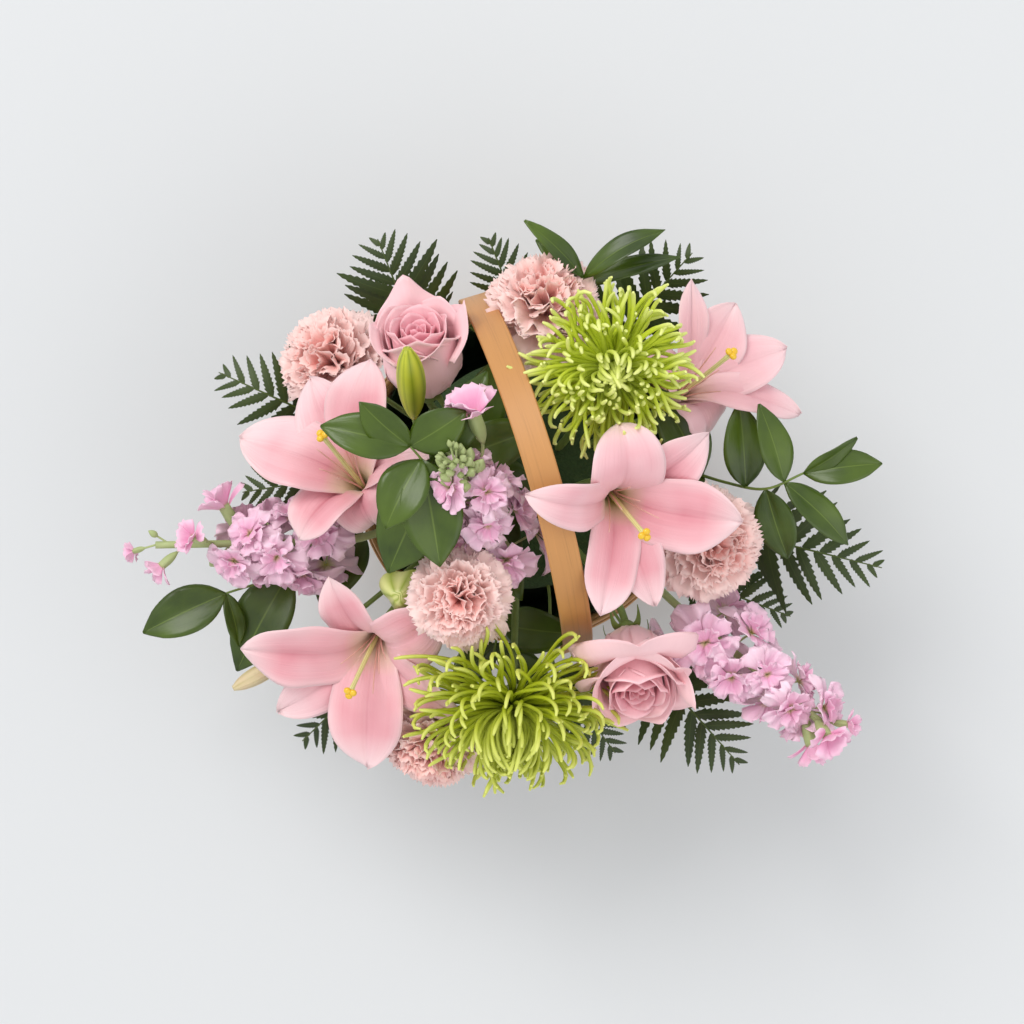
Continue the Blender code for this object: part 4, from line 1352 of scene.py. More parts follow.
def build_handle():
    """The bentwood handle: a strip with eased edges, and its tacks."""
    line = handle_line()
    tangents = np.gradient(line, axis=0)
    tangents /= np.linalg.norm(tangents, axis=1, keepdims=True)
    across = np.tile([0.0, 1.0, 0.0], (len(line), 1))
    across -= tangents * np.sum(across * tangents, axis=1, keepdims=True)
    across /= np.linalg.norm(across, axis=1, keepdims=True)
    out = np.cross(across, tangents)
    half, thick, ease = HANDLE_WIDTH / 2, HANDLE_THICKNESS / 2, 0.0008
    section = [
        (-half + ease, -thick), (-half * 0.4, -thick), (half * 0.4, -thick), (half - ease, -thick),
        (half, -thick + ease), (half, thick - ease),
        (half - ease, thick), (half * 0.4, thick), (-half * 0.4, thick), (-half + ease, thick),
        (-half, thick - ease), (-half, -thick + ease),
    ]
    size = len(section)
    points = np.concatenate([line + across * a + out * b for a, b in section])
    count = len(line)
    faces = []
    for k in range(size):
        low, high = k * count, (k + 1) % size * count
        faces += [(low + i, low + i + 1, high + i + 1, high + i) for i in range(count - 1)]
    faces.append(tuple(k * count for k in range(size)))
    faces.append(tuple(k * count + count - 1 for k in reversed(range(size))))
    strip = Skin()
    along = np.tile(np.linspace(0, 1, count), size)
    sideways = np.repeat([a / half for a, _ in section], count)
    strip.add(points, faces, 0, along=along, across=sideways, tone=0.4)
    mesh = strip.mesh("handle_strip", finishes("handle_wood"))
    mesh.transform(Matrix.Rotation(HANDLE_TURN, 4, "Z"))
    mesh.set_sharp_from_angle(angle=math.radians(40))
    show("handle_strip", mesh, "handle")
    for node in ("handle_tack_front_1", "handle_tack_front_2", "handle_tack_back_1", "handle_tack_back_2"):
        build_tack(node)


def build_tack(node):
    """A domed tack, square to the wall, where its node lies."""
    low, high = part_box(node)
    middle = (low + high) / 2
    outward = Vector((middle.x, middle.y, 0)).normalized()
    slope = math.atan2(RIM_RADIUS - BASE_RADIUS, BASKET_HEIGHT)
    axis = (outward * math.cos(slope) - Vector((0, 0, math.sin(slope)))).normalized()
    reach = (high - low).xy.length / 2 - 0.0006
    head = middle + axis * reach
    radius = 0.0034
    tack = Skin()
    shank = [(0, -0.008), (0.001, -0.008), (0.001, -0.0010), (radius * 0.96, -0.0010), (radius, -0.0007)]
    tack.turned([*shank, *arc((0, -0.0007), (radius, 0.0013), (20, 40, 60, 78)), (0, 0.0006)], 24)
    matrix = Matrix.Translation(head) @ axis.to_track_quat("Z", "Y").to_matrix().to_4x4()
    show_skin(node + "_dome", tack, node, "brass", "brass", matrix=matrix)


def build_liner_and_foam():
    """The plastic dish and the soaked foam."""
    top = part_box("liner")[1].z
    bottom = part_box("liner")[0].z
    wall = 0.001
    heights = np.linspace(top, bottom + 0.002, 8)
    outside = [(wall_radius(z) - WALL - 0.0045, z) for z in heights]
    dish = [(0, bottom), (outside[-1][0] - 0.003, bottom)]
    dish += [*reversed(outside), (outside[0][0] - wall, top)]
    dish += [(r - wall, max(z, bottom + wall)) for r, z in outside[1:]]
    dish += [(outside[-1][0] - 0.004, bottom + wall), (0, bottom + wall)]
    liner = Skin()
    liner.turned(dish, 96)
    show_skin("liner_dish", liner, "liner", "liner_plastic", "liner_plastic")
    low, high = FOAM_LOW.z, FOAM_HIGH.z
    flat = FOAM_RADIUS - FOAM_CHAMFER
    block = [(0, low), (FOAM_RADIUS, low)]
    block += [(FOAM_RADIUS, z) for z in np.linspace(low + 0.01, high - FOAM_CHAMFER, 10)]
    block += arc((flat, high - FOAM_CHAMFER), (FOAM_CHAMFER, FOAM_CHAMFER), (25, 50, 70))
    block += [(r, high) for r in np.linspace(flat, 0.006, 10)] + [(0, high)]
    foam = Skin()
    foam.turned(block, 96)
    show_skin("foam_block", foam, "foam", "floral_foam", "floral_foam")


# Lilies ------------------------------------------------------


def tepal_grid(plan, ruffle, seed):
    """The points of one lily petal: it rises along the trumpet, opens, and curls back at its tip."""
    rows, columns = 26, 15
    share = np.linspace(0, 1, rows)
    opens, curls = math.radians(plan.opens), math.radians(plan.curls)
    lean = math.radians(10) + (opens - math.radians(10)) * smooth(share, 0.05, 0.62)
    lean = lean + curls * np.clip((share - plan.bends) / (1 - plan.bends), 0, 1) ** 1.3
    step = plan.length * MM / (rows - 1)
    middle = (lean[1:] + lean[:-1]) / 2
    out = 0.0035 + np.concatenate([[0], np.cumsum(np.sin(middle) * step)])
    rise = np.concatenate([[0], np.cumsum(np.cos(middle) * step)])
    widest = 0.6
    before = 1 - (1 - np.clip(share / widest, 0, 1)) ** 1.9
    after = (1 - np.clip((share - widest) / (1 - widest), 0, 1) ** 2.1) ** 0.8
    half = plan.width * MM / 2 * np.where(share < widest, 0.16 + 0.84 * before, after)
    half = np.maximum(half, 0.0006)
    v = np.linspace(-1, 1, columns)[None, :]
    cup = (0.95 - 0.85 * smooth(share, 0.05, 0.6))[:, None]
    side = half[:, None] * np.sin(cup * v * 1.2) / (1.2 * np.maximum(cup, 0.05))
    lift = half[:, None] * (1 - np.cos(cup * v * 1.2)) / 1.2
    crease = 0.0014 * np.exp(-((v / 0.11) ** 2)) * smooth(share, 0.1, 0.3)[:, None]
    lift = lift + 0.10 * half[:, None] * np.abs(v) - crease
    chance = np.random.default_rng(seed)
    phase, beat = chance.uniform(0, 2 * math.pi, 2), chance.uniform(1.6, 2.6, 2)
    left, right = (np.sin(p + b * 2 * math.pi * share[:, None]) for p, b in zip(phase, beat))
    wave = np.where(v < 0, left, right)
    lift = lift + ruffle * MM * wave * v**2 * smooth(share, 0.25, 0.6)[:, None]
    side = side + plan.sweep * MM * (share**2)[:, None]
    radial = out[:, None] - np.cos(lean)[:, None] * lift
    height = rise[:, None] + np.sin(lean)[:, None] * lift
    turn = math.radians(plan.turn)
    x = radial * math.cos(turn) - side * math.sin(turn)
    y = radial * math.sin(turn) + side * math.cos(turn)
    return np.stack([x, y, height], axis=2)


def build_lilies(props):
    """Each lily: six petals, a style with its three-lobed stigma, six filaments and the stem."""
    for order, (node, (place, tepals)) in enumerate(LILIES.items()):
        matrix = facing(checked(node, place))
        petals = Skin()
        for index, plan in enumerate(tepals):
            grid = tepal_grid(plan, props.ruffle, 40 * order + index)
            grid[..., 2] -= OUTER_WHORL_DROP * (index % 2 == 0)
            petals.sheet(grid, props.thickness * MM, tone=(index * 0.37) % 1)
        tint = "lily_blush" if node == "lily_right_back" else "lily_pink"
        show_skin(node + "_petals", petals, node, "lily_pink", tint, matrix=matrix)
        heart = Skin()
        shares = np.linspace(0, 1, 12)
        style = np.column_stack([0.006 * shares**2, -0.002 * shares, 0.004 + 0.072 * shares])
        heart.tube(style, blend(0.0019, 0.0016, shares) + 0.0006 * smooth(shares, 0.85, 1), 10, finish=0)
        for lobe in range(3):
            angle = 2 * math.pi * lobe / 3
            centre = style[-1] + [0.0024 * math.cos(angle), 0.0024 * math.sin(angle), 0.001]
            knob = centre + np.outer(np.linspace(-1, 1, 9), [0.0006, 0.0, 0.0023])
            heart.tube(knob, 0.0028 * np.sqrt(np.maximum(0.03, 1 - np.linspace(-1, 1, 9) ** 2)), 12, finish=1)
        for filament in range(6):
            angle = math.radians(60 * filament + 30) + 0.3 * math.sin(filament * 5 + order)
            reach = 0.013 + 0.004 * math.sin(filament * 3 + order)
            out = 0.002 + reach * shares**1.4
            rise = 0.005 + (0.048 + 0.006 * math.cos(filament * 2)) * shares
            thread = np.column_stack([out * math.cos(angle), out * math.sin(angle), rise])
            heart.tube(thread, blend(0.0008, 0.0004, shares), 6, finish=2)
        tints = ("style_green", "stigma_gold", "filament")
        show_skin(node + "_heart", heart, node, "lily_pink", *tints, matrix=matrix)
        show_stem(node, stem_line(place), STEM_RADIUS["lily"], "lily_pink")


def build_buds():
    """Each closed lily bud: three fluted outer petals drawn to a point, on its stem."""
    for node, (place, length, radius, kind) in BUDS.items():
        checked(node, place)
        share = np.linspace(0, 1, 22)
        line = np.column_stack([0.004 * share**2, 0 * share, length * MM * share])
        swell = np.sin(math.pi * np.clip(share, 0.02, 0.98)) ** 0.5 * (0.86 + 0.2 * share)
        bud = Skin()
        bud.tube(line, radius * MM * swell, 36, flutes=3, depth=0.07 if kind != 1 else 0.2)
        tint = {0: "bud_green", 0.5: "bud_cream", 1: "bud_pale"}[kind]
        show_skin(node + "_shell", bud, node, "bud_green", tint, matrix=facing(place))
        show_stem(node, stem_line(place), STEM_RADIUS["bud"], "bud_green")


# Mums, carnations, stocks and roses --------------------------


def build_mums(props):
    """Each spider mum: its florets, a green cup under them and the stem."""
    tree = floret_tree()
    for node, (place, tint, radius, seed) in MUMS.items():
        matrix = facing(checked(node, place))
        mesh = grown(
            node + "_florets", tree, Florets=props.florets, Radius=radius * MM, Tube=props.floret_radius * MM,
            Seed=seed, Finish=finishes(tint)
        )
        mesh.transform(matrix @ Matrix.Translation((0, 0, 0.012)))
        show(node + "_florets", mesh, node)
        cup = Skin()
        cup.turned([(0, 0), (0.004, 0), (0.0075, 0.004), (0.0095, 0.009), (0.0085, 0.014), (0, 0.016)], 24)
        show_skin(node + "_cup", cup, node, "mum_green", "calyx_green", matrix=matrix)
        show_stem(node, stem_line(place), STEM_RADIUS["mum"], "mum_green")


def fan_petal(length, width, fringe, ruffle, bend, seed, rows=7, columns=23):
    """An upright petal with a narrow foot and a waved, fringed edge. Its inner side faces -X."""
    share = np.linspace(0, 1, rows)[:, None]
    v = np.linspace(-1, 1, columns)[None, :]
    chance = np.random.default_rng(seed)
    phase = chance.uniform(0, 2 * math.pi, 3)
    half = width / 2 * (0.14 + 0.86 * smooth(share, 0.0, 0.85))
    teeth = np.where(np.arange(columns) % 2 == 0, 1.0, 1.0 - fringe)
    teeth = teeth * (1 + 0.25 * fringe * chance.uniform(-1, 1, columns))
    height = length * share * (1 - 0.16 * v**2 * share)
    height = height * np.where(share > 0.99, teeth[None, :], 1.0)
    wave = np.sin(2.2 * math.pi * v + phase[0]) + 0.5 * np.sin(4.6 * math.pi * v + phase[1])
    x = bend * length * share**2 + ruffle * length * wave * share**1.6
    y = half * v * (1 - 0.08 * np.sin(3 * math.pi * v + phase[2]) * share)
    return np.stack([x + 0 * v, y, height + 0 * v], axis=2)


def petal_patterns(name, count, thickness, **shape):
    """A few petals of one kind for a tree to pick from."""
    meshes = []
    for seed in range(count):
        skin = Skin()
        skin.sheet(fan_petal(seed=seed + 11, **shape), thickness, tone=seed / count)
        meshes.append(skin.mesh(f"{name}_{seed}"))
    return patterns(name, meshes)


def build_carnations(props):
    """Each carnation: fringed petals packed in a spiral, a long calyx and the stem."""
    tree = whorl_tree()
    shape = {"length": 0.043, "width": 0.046, "fringe": 0.06, "ruffle": 0.07, "bend": 0.10, "columns": 29}
    source = petal_patterns("carnation_petal", 6, 0.0005, **shape)
    for node, (place, seed, size) in CARNATIONS.items():
        matrix = facing(checked(node, place))
        mesh = grown(
            node + "_petals", tree, Petals=props.carnation_petals, Patterns=source, Inner_Tilt=-0.14,
            Outer_Tilt=1.6, Inner_Size=0.84, Outer_Size=1.0, Lift=0.009, Crumple=0.009, Crumple_Scale=64.0,
            Seed=seed, Petal_Finish=finishes("carnation_pink"), Green_Finish=finishes("calyx_green")
        )
        mesh.transform(matrix @ Matrix.Translation((0, 0, 0.02)) @ Matrix.Scale(size, 4))
        show(node + "_petals", mesh, node)
        calyx = Skin()
        radii = [0.0026, 0.0044, 0.0054, 0.0058, 0.006, 0.0064, 0.0072, 0.0078]
        calyx.tube(upright(0, 0.024, 8), radii, 20, flutes=5, depth=0.06)
        show_skin(node + "_calyx", calyx, node, "carnation_pink", "calyx_green", matrix=matrix)
        show_stem(node, stem_line(place), STEM_RADIUS["carnation"], "carnation_pink")
    cleared(source)


def half_open_mesh(name, scale, petals, *tints):
    """A half-open stock flower: folded petals out of a ribbed green calyx."""
    skin = Skin()
    chance = np.random.default_rng(petals)
    for index in range(petals):
        grid = fan_petal(0.016, 0.015, 0.05, 0.06, 0.30 - 0.2 * chance.random(), index, 6, 9)
        spread = 0.15 + 0.75 * index / petals
        tilt = Matrix.Rotation(index * GOLDEN_ANGLE, 3, "Z") @ Matrix.Rotation(spread, 3, "Y")
        skin.sheet((grid @ np.array(tilt).T + [0, 0, 0.007]) * scale, 0.0006, tone=chance.random())
    radii = np.array([0.0008, 0.0018, 0.0026, 0.0030, 0.0032, 0.0031, 0.0030, 0.0029]) * scale
    skin.tube(upright(-0.006, 0.0105, 8) * scale, radii, 16, finish=1, flutes=4, depth=0.1)
    return skin.mesh(name, *(finishes(tint) for tint in tints))


def green_bud_mesh(name, scale):
    """A closed green bud near the tip of a stock."""
    skin = Skin()
    radii = np.array([0.0009, 0.0025, 0.0036, 0.0042, 0.0042, 0.0037, 0.0029, 0.0018, 0.0006]) * scale
    skin.tube(upright(-0.003, 0.0095, 9) * scale, radii, 14, finish=1, flutes=4, depth=0.1)
    return skin.mesh(name)


def poly_curve(name, line):
    """A curve through the points of a line."""
    curve = bpy.data.curves.new(name, "CURVE")
    curve.dimensions = "3D"
    spline = curve.splines.new("POLY")
    spline.points.add(len(line) - 1)
    for knot, point in zip(spline.points, line):
        knot.co = (*point, 1)
    return curve


def build_stocks(props):
    """Each stock: double ruffled flowers up a stem that ends in half-open flowers and buds."""
    whorl, spike = whorl_tree(), spike_tree()
    shape = {"length": 0.029, "width": 0.031, "fringe": 0.015, "ruffle": 0.10, "bend": 0.14, "columns": 15}
    petals = petal_patterns("stock_petal", 4, 0.0005, **shape)
    blooms = [
        grown(
            f"stock_bloom_{seed}", whorl, Petals=props.stock_petals, Patterns=petals, Inner_Tilt=0.3,
            Outer_Tilt=1.5, Inner_Size=0.45, Outer_Size=0.95, Lift=0.003, Crumple=0.014, Crumple_Scale=80.0,
            Seed=seed + 20
        )
        for seed in range(4)
    ]
    flowers = patterns("stock_flower", blooms)
    tight = [green_bud_mesh("stock_bud_a", 0.9), green_bud_mesh("stock_bud_b", 0.7)]
    loose = [half_open_mesh("stock_bud_c", 1.2, 5), green_bud_mesh("stock_bud_d", 1.1)]
    tips = {"tight": patterns("stock_tight", tight), "loose": patterns("stock_loose", loose)}
    for node, (place, length, open_share, buds, kind, seed) in STOCKS.items():
        matrix = facing(checked(node, place))
        bar = [matrix @ Vector((0, 0, length * MM * i / 12)) for i in range(13)]
        mesh = grown(
            node + "_flowers", spike, poly_curve(node, bar), Flowers=props.stock_flowers, Buds=buds,
            Flower_Patterns=flowers, Bud_Patterns=tips[kind], Open_Share=open_share, Seed=seed,
            Petal_Finish=finishes("stock_lilac"), Green_Finish=finishes("calyx_green")
        )
        show(node + "_flowers", mesh, node)
        show_stem(node, [*stem_line(place), *bar[1:]], STEM_RADIUS["stock"], "stock_lilac", "calyx_green")
    for collection in (petals, flowers, *tips.values()):
        cleared(collection)
    build_side_flower()


def build_side_flower():
    """The half-open flower that stands away from the centre stock, and its stalk."""
    mesh = half_open_mesh("stock_centre_side_flower", 1.6, 6, "stock_lilac", "calyx_green")
    matrix = facing(SIDE_FLOWER)
    mesh.transform(matrix)
    show("stock_centre_side_flower", mesh, "stock_centre")
    place, length = STOCKS["stock_centre"][:2]
    start = facing(place) @ Vector((0, 0, 0.6 * length * MM))
    way = (facing(place).to_3x3() @ Vector((0, 0, 1))).normalized()
    line = bezier(start, way, matrix @ Vector((0, 0, -0.006)), matrix.to_3x3() @ Vector((0, 0, 1)), 14)
    stalk = Skin()
    stalk.tube(line, 0.0012, 8)
    show_skin("stock_centre_side_stalk", stalk, "stock_centre", "stock_lilac", "calyx_green")


def rose_petal(turn, wide, belly, height, plan, seed, rows=20, columns=19):
    """A petal wrapped round the rose's axis, whose rim flares, rolls outwards and may come to a point."""
    share = np.linspace(0, 1, rows)[:, None]
    v = np.linspace(-1, 1, columns)[None, :]
    chance = np.random.default_rng(seed)
    top = height * (1 - 0.16 * np.abs(v) ** 2.6 + plan.peak * np.exp(-((v / 0.26) ** 2)))
    rise = top * share
    hip = min(5.5, belly * 0.8) * MM
    out = hip + (belly * MM - hip) * np.sin(math.pi / 2 * np.clip(share / 0.5, 0, 1)) ** 0.85
    out = out - 0.16 * belly * MM * smooth(share, 0.5, 0.95)
    out = out + plan.flare * MM * smooth(share, 0.5, 1.05) ** 1.2
    curl = smooth(share, 0.82, 1.0) * (0.35 + 0.65 * np.abs(v) ** 0.7)
    out = out + plan.roll * MM * np.sin(curl * 2.5)
    rise = rise - plan.roll * MM * 1.3 * (1 - np.cos(curl * 2.2))
    out = out + 0.0011 * np.sin(2.8 * v + chance.uniform(0, 6)) * share + 0.0006 * np.sin(6 * v + 5 * share)
    angle = math.radians(turn) + math.radians(wide) / 2 * v * (0.4 + 0.6 * smooth(share, 0, 0.4))
    return np.stack([out * np.cos(angle), out * np.sin(angle), rise + 0 * v], axis=2)


def build_roses():
    """Each rose: a tight spiral in the middle, wrapped petals round it, and flared ones outside."""
    for node, (place, tint, outside) in ROSES.items():
        matrix = facing(checked(node, place))
        rose = Skin()
        layers = 18
        for index in range(layers):
            share = index / (layers - 1)
            plan = RosePetal(index * 137.5, blend(0, 3.5, share), blend(0.4, 2.6, share), 0.02)
            belly = blend(1.7, 21.5, share**0.85)
            height = blend(0.056, 0.062, smooth(share, 0.1, 0.9))
            wide = blend(260, 132, smooth(share, 0.0, 0.5))
            grid = rose_petal(plan.turn, wide, belly, height, plan, index)
            rose.sheet(grid[:, ::-1], 0.0006, tone=share * 0.8)
        for index, plan in enumerate(outside):
            grid = rose_petal(plan.turn, 116, 24.5 + 0.35 * index, 0.060, plan, 30 + index)
            rose.sheet(grid[:, ::-1], 0.0007, tone=0.9)
        raised = matrix @ Matrix.Translation((0, 0, 0.008)) @ Matrix.Scale(1.05, 4)
        show_skin(node + "_petals", rose, node, "rose_pink", tint, matrix=raised)
        cup = Skin()
        cup.turned([(0, 0), (0.0036, 0), (0.0062, 0.003), (0.0072, 0.007), (0.006, 0.011), (0, 0.012)], 24)
        for sepal in range(5):
            share = np.linspace(0, 1, 9)[:, None]
            v = np.linspace(-1, 1, 5)[None, :]
            out = 0.006 + 0.011 * np.sin(share * 1.7)
            rise = 0.008 + 0.006 * np.sin(share * 2.4) - 0.016 * share**2
            half = 0.0034 * (1 - share**1.4) + 0.0003
            turn = math.radians(72 * sepal)
            x = out * math.cos(turn) - half * v * math.sin(turn)
            y = out * math.sin(turn) + half * v * math.cos(turn)
            cup.sheet(np.stack([x, y, rise + 0 * v], axis=2), 0.0006)
        show_skin(node + "_cup", cup, node, "rose_pink", "stem_green", matrix=matrix)
        show_stem(node, stem_line(place), STEM_RADIUS["rose"], "rose_pink")


# Foliage -----------------------------------------------------


def leaf_grid(root, tip, width, arch, tilt, rows=17, columns=9):
    """A pointed oval leaf, folded a little along its midrib, with a slight wave and a short stalk."""
    along = tip - root
    across = along.cross(Vector((0, 0, 1))).normalized()
    across.rotate(Matrix.Rotation(math.radians(tilt), 3, along.normalized()))
    up = across.cross(along).normalized()
    share = np.linspace(0, 1, rows)[:, None]
    v = np.linspace(-1, 1, columns)[None, :]
    body = np.clip((share - 0.03) / 0.97, 0, 1)
    half = width / 2 * np.sin(math.pi * body**0.84) ** 0.7 * (1 - 0.3 * smooth(body, 0.78, 1.0)) + 0.0006
    rise = arch * np.sin(math.pi * share) + 0.16 * half * np.abs(v) - 0.0006 * np.exp(-((v / 0.12) ** 2))
    rise = rise + 0.0009 * np.sin(9 * share + 2 * v) * v**2
    steps = [share + 0 * v, -half * v, rise + 0 * v]
    return np.array(root) + sum(s[..., None] * np.array(w) for s, w in zip(steps, (along, across, up)))


def build_sprays():
    """Each spray of ruscus: its stem and its glossy leaves."""
    for node, plan in SPRAYS.items():
        foot = foam_surface(plan.foot)
        way = (foot - FOAM_HEART).normalized()
        start = foot + way * 0.008
        knots = [start, *(Vector(point) * MM for point in plan.stem)]
        coarse, line = smooth_line(knots, 2), smooth_line(knots, 8)
        spray = Skin()
        radii = STEM_RADIUS["twig"] * MM * np.linspace(1.2, 0.7, len(line) + 1)
        spray.tube([foot - way * STEM_IN_FOAM, *line], radii, 8, finish=1)
        for index, leaf in enumerate(plan.leaves):
            root = coarse[round(leaf.share * (len(coarse) - 1))]
            tip = Vector(leaf.tip) * MM
            grid = leaf_grid(root, tip, leaf.width * MM, leaf.arch * MM, leaf.tilt)
            spray.sheet(grid, 0.0007, tone=index * 0.23)
        show_skin(node + "_leaves", spray, node, "ruscus_green", "ruscus_green", "stem_green")


def leaflet_mesh():
    """One toothed fern leaflet, a unit long, along +X."""
    teeth = 9
    rows = 2 * teeth + 2
    share = np.linspace(0, 1, rows)[:, None]
    tooth = np.where(np.arange(rows) % 2 == 1, 1.0, 0.7)[:, None]
    half = 0.12 * (1 - share**2.0) ** 0.8 * np.clip(0.5 + 3.2 * share, 0, 1) * tooth + 0.006
    v = np.linspace(-1, 1, 3)[None, :]
    x = share + 0.05 * np.abs(v) * (tooth > 0.9) * (1 - share)
    z = 0.05 * np.sin(math.pi * share) - 0.10 * half * np.abs(v) - 0.07 * share**2
    skin = Skin()
    skin.sheet(np.stack([x + 0 * v, half * v, z + 0 * v], axis=2), 0.02, edge=0.5)
    return skin.mesh("fern_leaflet")


def build_ferns(props):
    """Each frond: toothed leaflets along a rib, on a stalk."""
    tree = frond_tree()
    leaflet = linked(bpy.data.objects.new("fern_leaflet", leaflet_mesh()))
    for seed, (node, plan) in enumerate(FRONDS.items()):
        root, tip = Vector(plan.root) * MM, Vector(plan.tip) * MM
        along = tip - root
        up = along.cross(Vector((0, 0, 1))).cross(along).normalized()
        foot = foam_surface(plan.foot)
        way = (foot - FOAM_HEART).normalized()
        droop = plan.droop * MM
        rib = [root + along * t + up * (droop * math.sin(math.pi * t)) for t in np.linspace(0, 1, 16)]
        mesh = grown(
            node + "_frond", tree, poly_curve(node, rib), Pairs=props.fern_pairs, Leaflet=leaflet,
            Width=plan.width * MM * 1.25, Seed=seed, Finish=finishes("fern_green")
        )
        show(node + "_frond", mesh, node)
        stalk = bezier(foot, way, root, (rib[1] - rib[0]).normalized(), 14)
        show_stem(node, [foot - way * STEM_IN_FOAM, *stalk], STEM_RADIUS["twig"], "fern_green")
    bpy.data.objects.remove(leaflet)


# Stage -------------------------------------------------------


def area_light(name, location, size, power, tint):
    """A soft square light aimed at the arrangement."""
    lamp = bpy.data.lights.new(name, "AREA")
    lamp.shape = "SQUARE"
    lamp.size = size
    lamp.energy = power
    lamp.color = tint
    made = linked(bpy.data.objects.new(name, lamp))
    made.location = location
    made.rotation_mode = "QUATERNION"
    made.rotation_quaternion = (Vector((0, 0, 0.15)) - Vector(location)).to_track_quat("-Z", "Y")
    return made


def build_stage(props):
    """The floor, the lights, the surrounding light and the camera."""
    floor_mesh = bpy.data.meshes.new("studio_floor")
    reach = 9.0
    floor_mesh.from_pydata(
        [(-reach, -reach, 0), (reach, -reach, 0), (reach, reach, 0), (-reach, reach, 0)], [], [(0, 1, 2, 3)]
    )
    floor = linked(bpy.data.objects.new("studio_floor", floor_mesh))
    paper = Finish("studio_paper", 0.9)
    light = tuple(value * 1.01 for value in props.floor)
    floor_mesh.materials.append(paper.colour(paper.mix(paper.noise(2.0, 1.0), tuple(props.floor), light)))
    area_light("key_light", (-2.4, 2.9, 4.6), 3.2, props.key_power, (1.0, 0.985, 0.96))
    area_light("fill_light", (1.6, -1.2, 1.9), 2.2, props.fill_power, (1.0, 0.99, 0.98))
    world = bpy.data.worlds.new("studio")
    world.use_nodes = True
    background = world.node_tree.nodes["Background"].inputs
    background["Color"].default_value = (0.985, 0.98, 0.975, 1)
    background["Strength"].default_value = props.surround
    bpy.context.scene.world = world
    lens = bpy.data.cameras.new("camera")
    lens.lens = props.lens
    lens.sensor_width = 36
    camera = linked(bpy.data.objects.new("camera", lens))
    camera.location = (props.camera_x * MM, props.camera_y * MM, props.camera_height)
    bpy.context.scene.camera = camera
    bpy.context.scene.view_settings.view_transform = "Standard"


# Add-on -----------------------------------------------------------------------------------------------


def tint_property(name, description, *levels):
    """A colour property."""
    return FloatVectorProperty(
        name=name, description=description, default=colour(*levels), subtype="COLOR", size=4, min=0, max=1
    )


class BasketPlan(PropertyGroup):
    """The basket's weave and wood."""

    rows: IntProperty(name="Woven Rows", description="Strips woven round the wall", default=14, min=4, max=30)
    stakes: IntProperty(
        name="Stakes", description="Upright strips, an even number", default=34, min=12, max=60
    )
    wood: tint_property("Wood", "Colour of the woven strips and bands", 196, 148, 96)
    handle_wood: tint_property("Handle Wood", "Colour of the bentwood handle", 205, 146, 84)


class LilyPlan(PropertyGroup):
    """The lilies' petals."""

    thickness: FloatProperty(
        name="Thickness", description="Petal thickness in millimetres", default=0.9, min=0.3
    )
    ruffle: FloatProperty(
        name="Ruffle", description="Height of the edge's wave in millimetres", default=2.3, min=0
    )
    petal: tint_property("Petal", "Colour of the petals", 236, 168, 178)
    edge: tint_property("Edge", "Colour of the edges and tips", 250, 222, 224)


class BloomPlan(PropertyGroup):
    """The mums, carnations, stocks and roses."""

    florets: IntProperty(
        name="Mum Florets", description="Florets of each spider mum", default=290, min=20, max=400
    )
    floret_radius: FloatProperty(name="Floret Radius", description="In millimetres", default=1.35, min=0.4)
    carnation_petals: IntProperty(
        name="Carnation Petals", description="Petals of each", default=46, min=10, max=90
    )
    stock_petals: IntProperty(
        name="Stock Petals", description="Petals of each flower", default=10, min=4, max=40
    )
    stock_flowers: IntProperty(
        name="Stock Flowers", description="Open flowers of each stem", default=13, min=3
    )
    back_mum: tint_property("Back Mum", "Colour of the back mum", 206, 220, 62)
    front_mum: tint_property("Front Mum", "Colour of the front mum", 182, 194, 40)
    rose: tint_property("Rose", "Colour of the roses", 251, 176, 192)
    carnation: tint_property("Carnation", "Colour of the carnations", 255, 218, 212)
    stock: tint_property("Stock", "Colour of the stocks", 248, 198, 226)


class FoliagePlan(PropertyGroup):
    """The leaves and fronds."""

    fern_pairs: IntProperty(
        name="Leaflet Pairs", description="Pairs along each frond", default=9, min=3, max=30
    )
    ruscus: tint_property("Ruscus", "Colour of the broad leaves", 38, 58, 12)
    fern: tint_property("Fern", "Colour of the fronds", 34, 52, 12)


class StagePlan(PropertyGroup):
    """The floor, the lights and the camera."""

    floor: tint_property("Floor", "Colour of the floor", 215, 218, 221)
    key_power: FloatProperty(
        name="Key Light", description="Power of the main light", default=164, unit="POWER"
    )
    fill_power: FloatProperty(
        name="Fill Light", description="Power of the fill light", default=12, unit="POWER"
    )
    surround: FloatProperty(name="Surround", description="Strength of the light from all round", default=0.80)
    lens: FloatProperty(name="Lens", description="Focal length in millimetres", default=97.4)
    camera_x: FloatProperty(name="Camera X", description="In millimetres", default=-8.8)
    camera_y: FloatProperty(name="Camera Y", description="In millimetres", default=-28.5)
    camera_height: FloatProperty(
        name="Camera Height", description="Above the floor", default=2.2, unit="LENGTH"
    )


class FLOWERS_OT_finishes(Operator):
    """Make the materials"""

    bl_idname = "flowers.finishes"
    bl_label = "Materials"

    def execute(self, context):
        build_finishes(context.scene)
        return {"FINISHED"}


class FLOWERS_OT_basket(Operator):
    """Weave the basket and bend its bands"""

    bl_idname = "flowers.basket"
    bl_label = "Basket"

    def execute(self, context):
        build_basket(context.scene.basket_plan)
        return {"FINISHED"}


class FLOWERS_OT_handle(Operator):
    """Bend the handle and tack it on"""

    bl_idname = "flowers.handle"
    bl_label = "Handle"

    def execute(self, context):
        build_handle()
        return {"FINISHED"}


class FLOWERS_OT_foam(Operator):
    """Make the liner and the foam"""

    bl_idname = "flowers.foam"
    bl_label = "Liner and Foam"

    def execute(self, context):
        build_liner_and_foam()
        return {"FINISHED"}


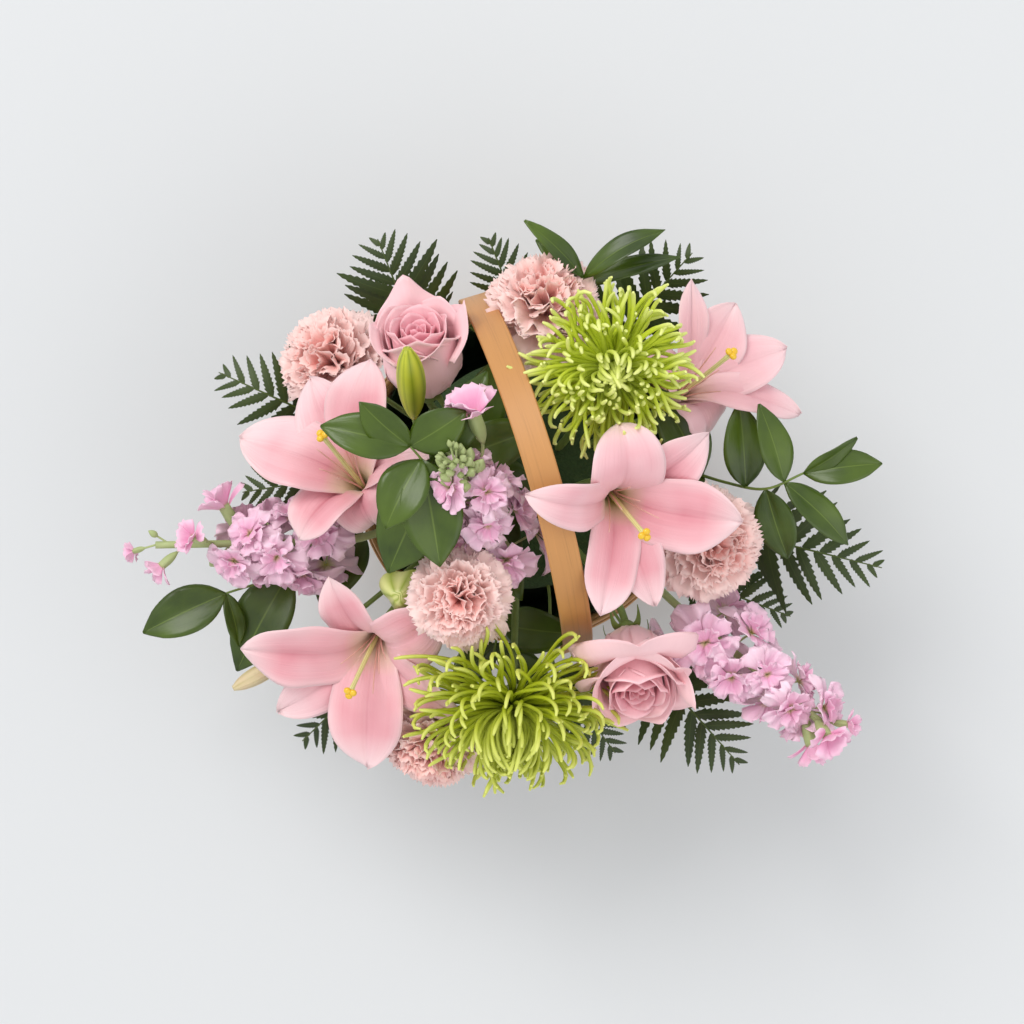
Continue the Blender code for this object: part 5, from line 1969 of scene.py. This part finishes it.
class FLOWERS_OT_lilies(Operator):
    """Grow the lilies and their buds"""

    bl_idname = "flowers.lilies"
    bl_label = "Lilies"

    def execute(self, context):
        build_lilies(context.scene.lily_plan)
        build_buds()
        return {"FINISHED"}


class FLOWERS_OT_mums(Operator):
    """Grow the spider mums"""

    bl_idname = "flowers.mums"
    bl_label = "Spider Mums"

    def execute(self, context):
        build_mums(context.scene.bloom_plan)
        return {"FINISHED"}


class FLOWERS_OT_roses(Operator):
    """Grow the roses"""

    bl_idname = "flowers.roses"
    bl_label = "Roses"

    def execute(self, context):
        build_roses()
        return {"FINISHED"}


class FLOWERS_OT_carnations(Operator):
    """Grow the carnations"""

    bl_idname = "flowers.carnations"
    bl_label = "Carnations"

    def execute(self, context):
        build_carnations(context.scene.bloom_plan)
        return {"FINISHED"}


class FLOWERS_OT_stocks(Operator):
    """Grow the stocks"""

    bl_idname = "flowers.stocks"
    bl_label = "Stocks"

    def execute(self, context):
        build_stocks(context.scene.bloom_plan)
        return {"FINISHED"}


class FLOWERS_OT_ruscus(Operator):
    """Grow the sprays of ruscus"""

    bl_idname = "flowers.ruscus"
    bl_label = "Ruscus"

    def execute(self, context):
        build_sprays()
        return {"FINISHED"}


class FLOWERS_OT_ferns(Operator):
    """Grow the fern fronds"""

    bl_idname = "flowers.ferns"
    bl_label = "Ferns"

    def execute(self, context):
        build_ferns(context.scene.foliage_plan)
        return {"FINISHED"}


class FLOWERS_OT_stage(Operator):
    """Set up the floor, lights and camera"""

    bl_idname = "flowers.stage"
    bl_label = "Stage"

    def execute(self, context):
        build_stage(context.scene.stage_plan)
        return {"FINISHED"}


OPERATORS = (
    FLOWERS_OT_finishes,
    FLOWERS_OT_basket,
    FLOWERS_OT_handle,
    FLOWERS_OT_foam,
    FLOWERS_OT_lilies,
    FLOWERS_OT_mums,
    FLOWERS_OT_roses,
    FLOWERS_OT_carnations,
    FLOWERS_OT_stocks,
    FLOWERS_OT_ruscus,
    FLOWERS_OT_ferns,
    FLOWERS_OT_stage,
)
PLANS = {
    "basket_plan": BasketPlan,
    "lily_plan": LilyPlan,
    "bloom_plan": BloomPlan,
    "foliage_plan": FoliagePlan,
    "stage_plan": StagePlan,
}


class FLOWERS_PT_panel(Panel):
    """Lists the steps and their sizes and colours"""

    bl_label = "Flower Basket"
    bl_idname = "FLOWERS_PT_panel"
    bl_space_type = "VIEW_3D"
    bl_region_type = "UI"
    bl_category = "Flowers"

    def draw(self, context):
        for operator in OPERATORS:
            self.layout.operator(operator.bl_idname)
        for name, plan in PLANS.items():
            box = self.layout.box()
            for key in plan.__annotations__:
                box.prop(getattr(context.scene, name), key)


def register():
    """Registers the classes and puts the plans on the scene."""
    for cls in (*PLANS.values(), *OPERATORS, FLOWERS_PT_panel):
        bpy.utils.register_class(cls)
    for name, plan in PLANS.items():
        setattr(bpy.types.Scene, name, PointerProperty(type=plan))


def unregister():
    """Undoes what register does."""
    for name in PLANS:
        delattr(bpy.types.Scene, name)
    for cls in (FLOWERS_PT_panel, *reversed(OPERATORS), *reversed(PLANS.values())):
        bpy.utils.unregister_class(cls)


def main():
    """Builds the whole arrangement."""
    register()
    for operator in OPERATORS:
        group, step = operator.bl_idname.split(".")
        getattr(getattr(bpy.ops, group), step)()


if __name__ == "__main__":
    main()
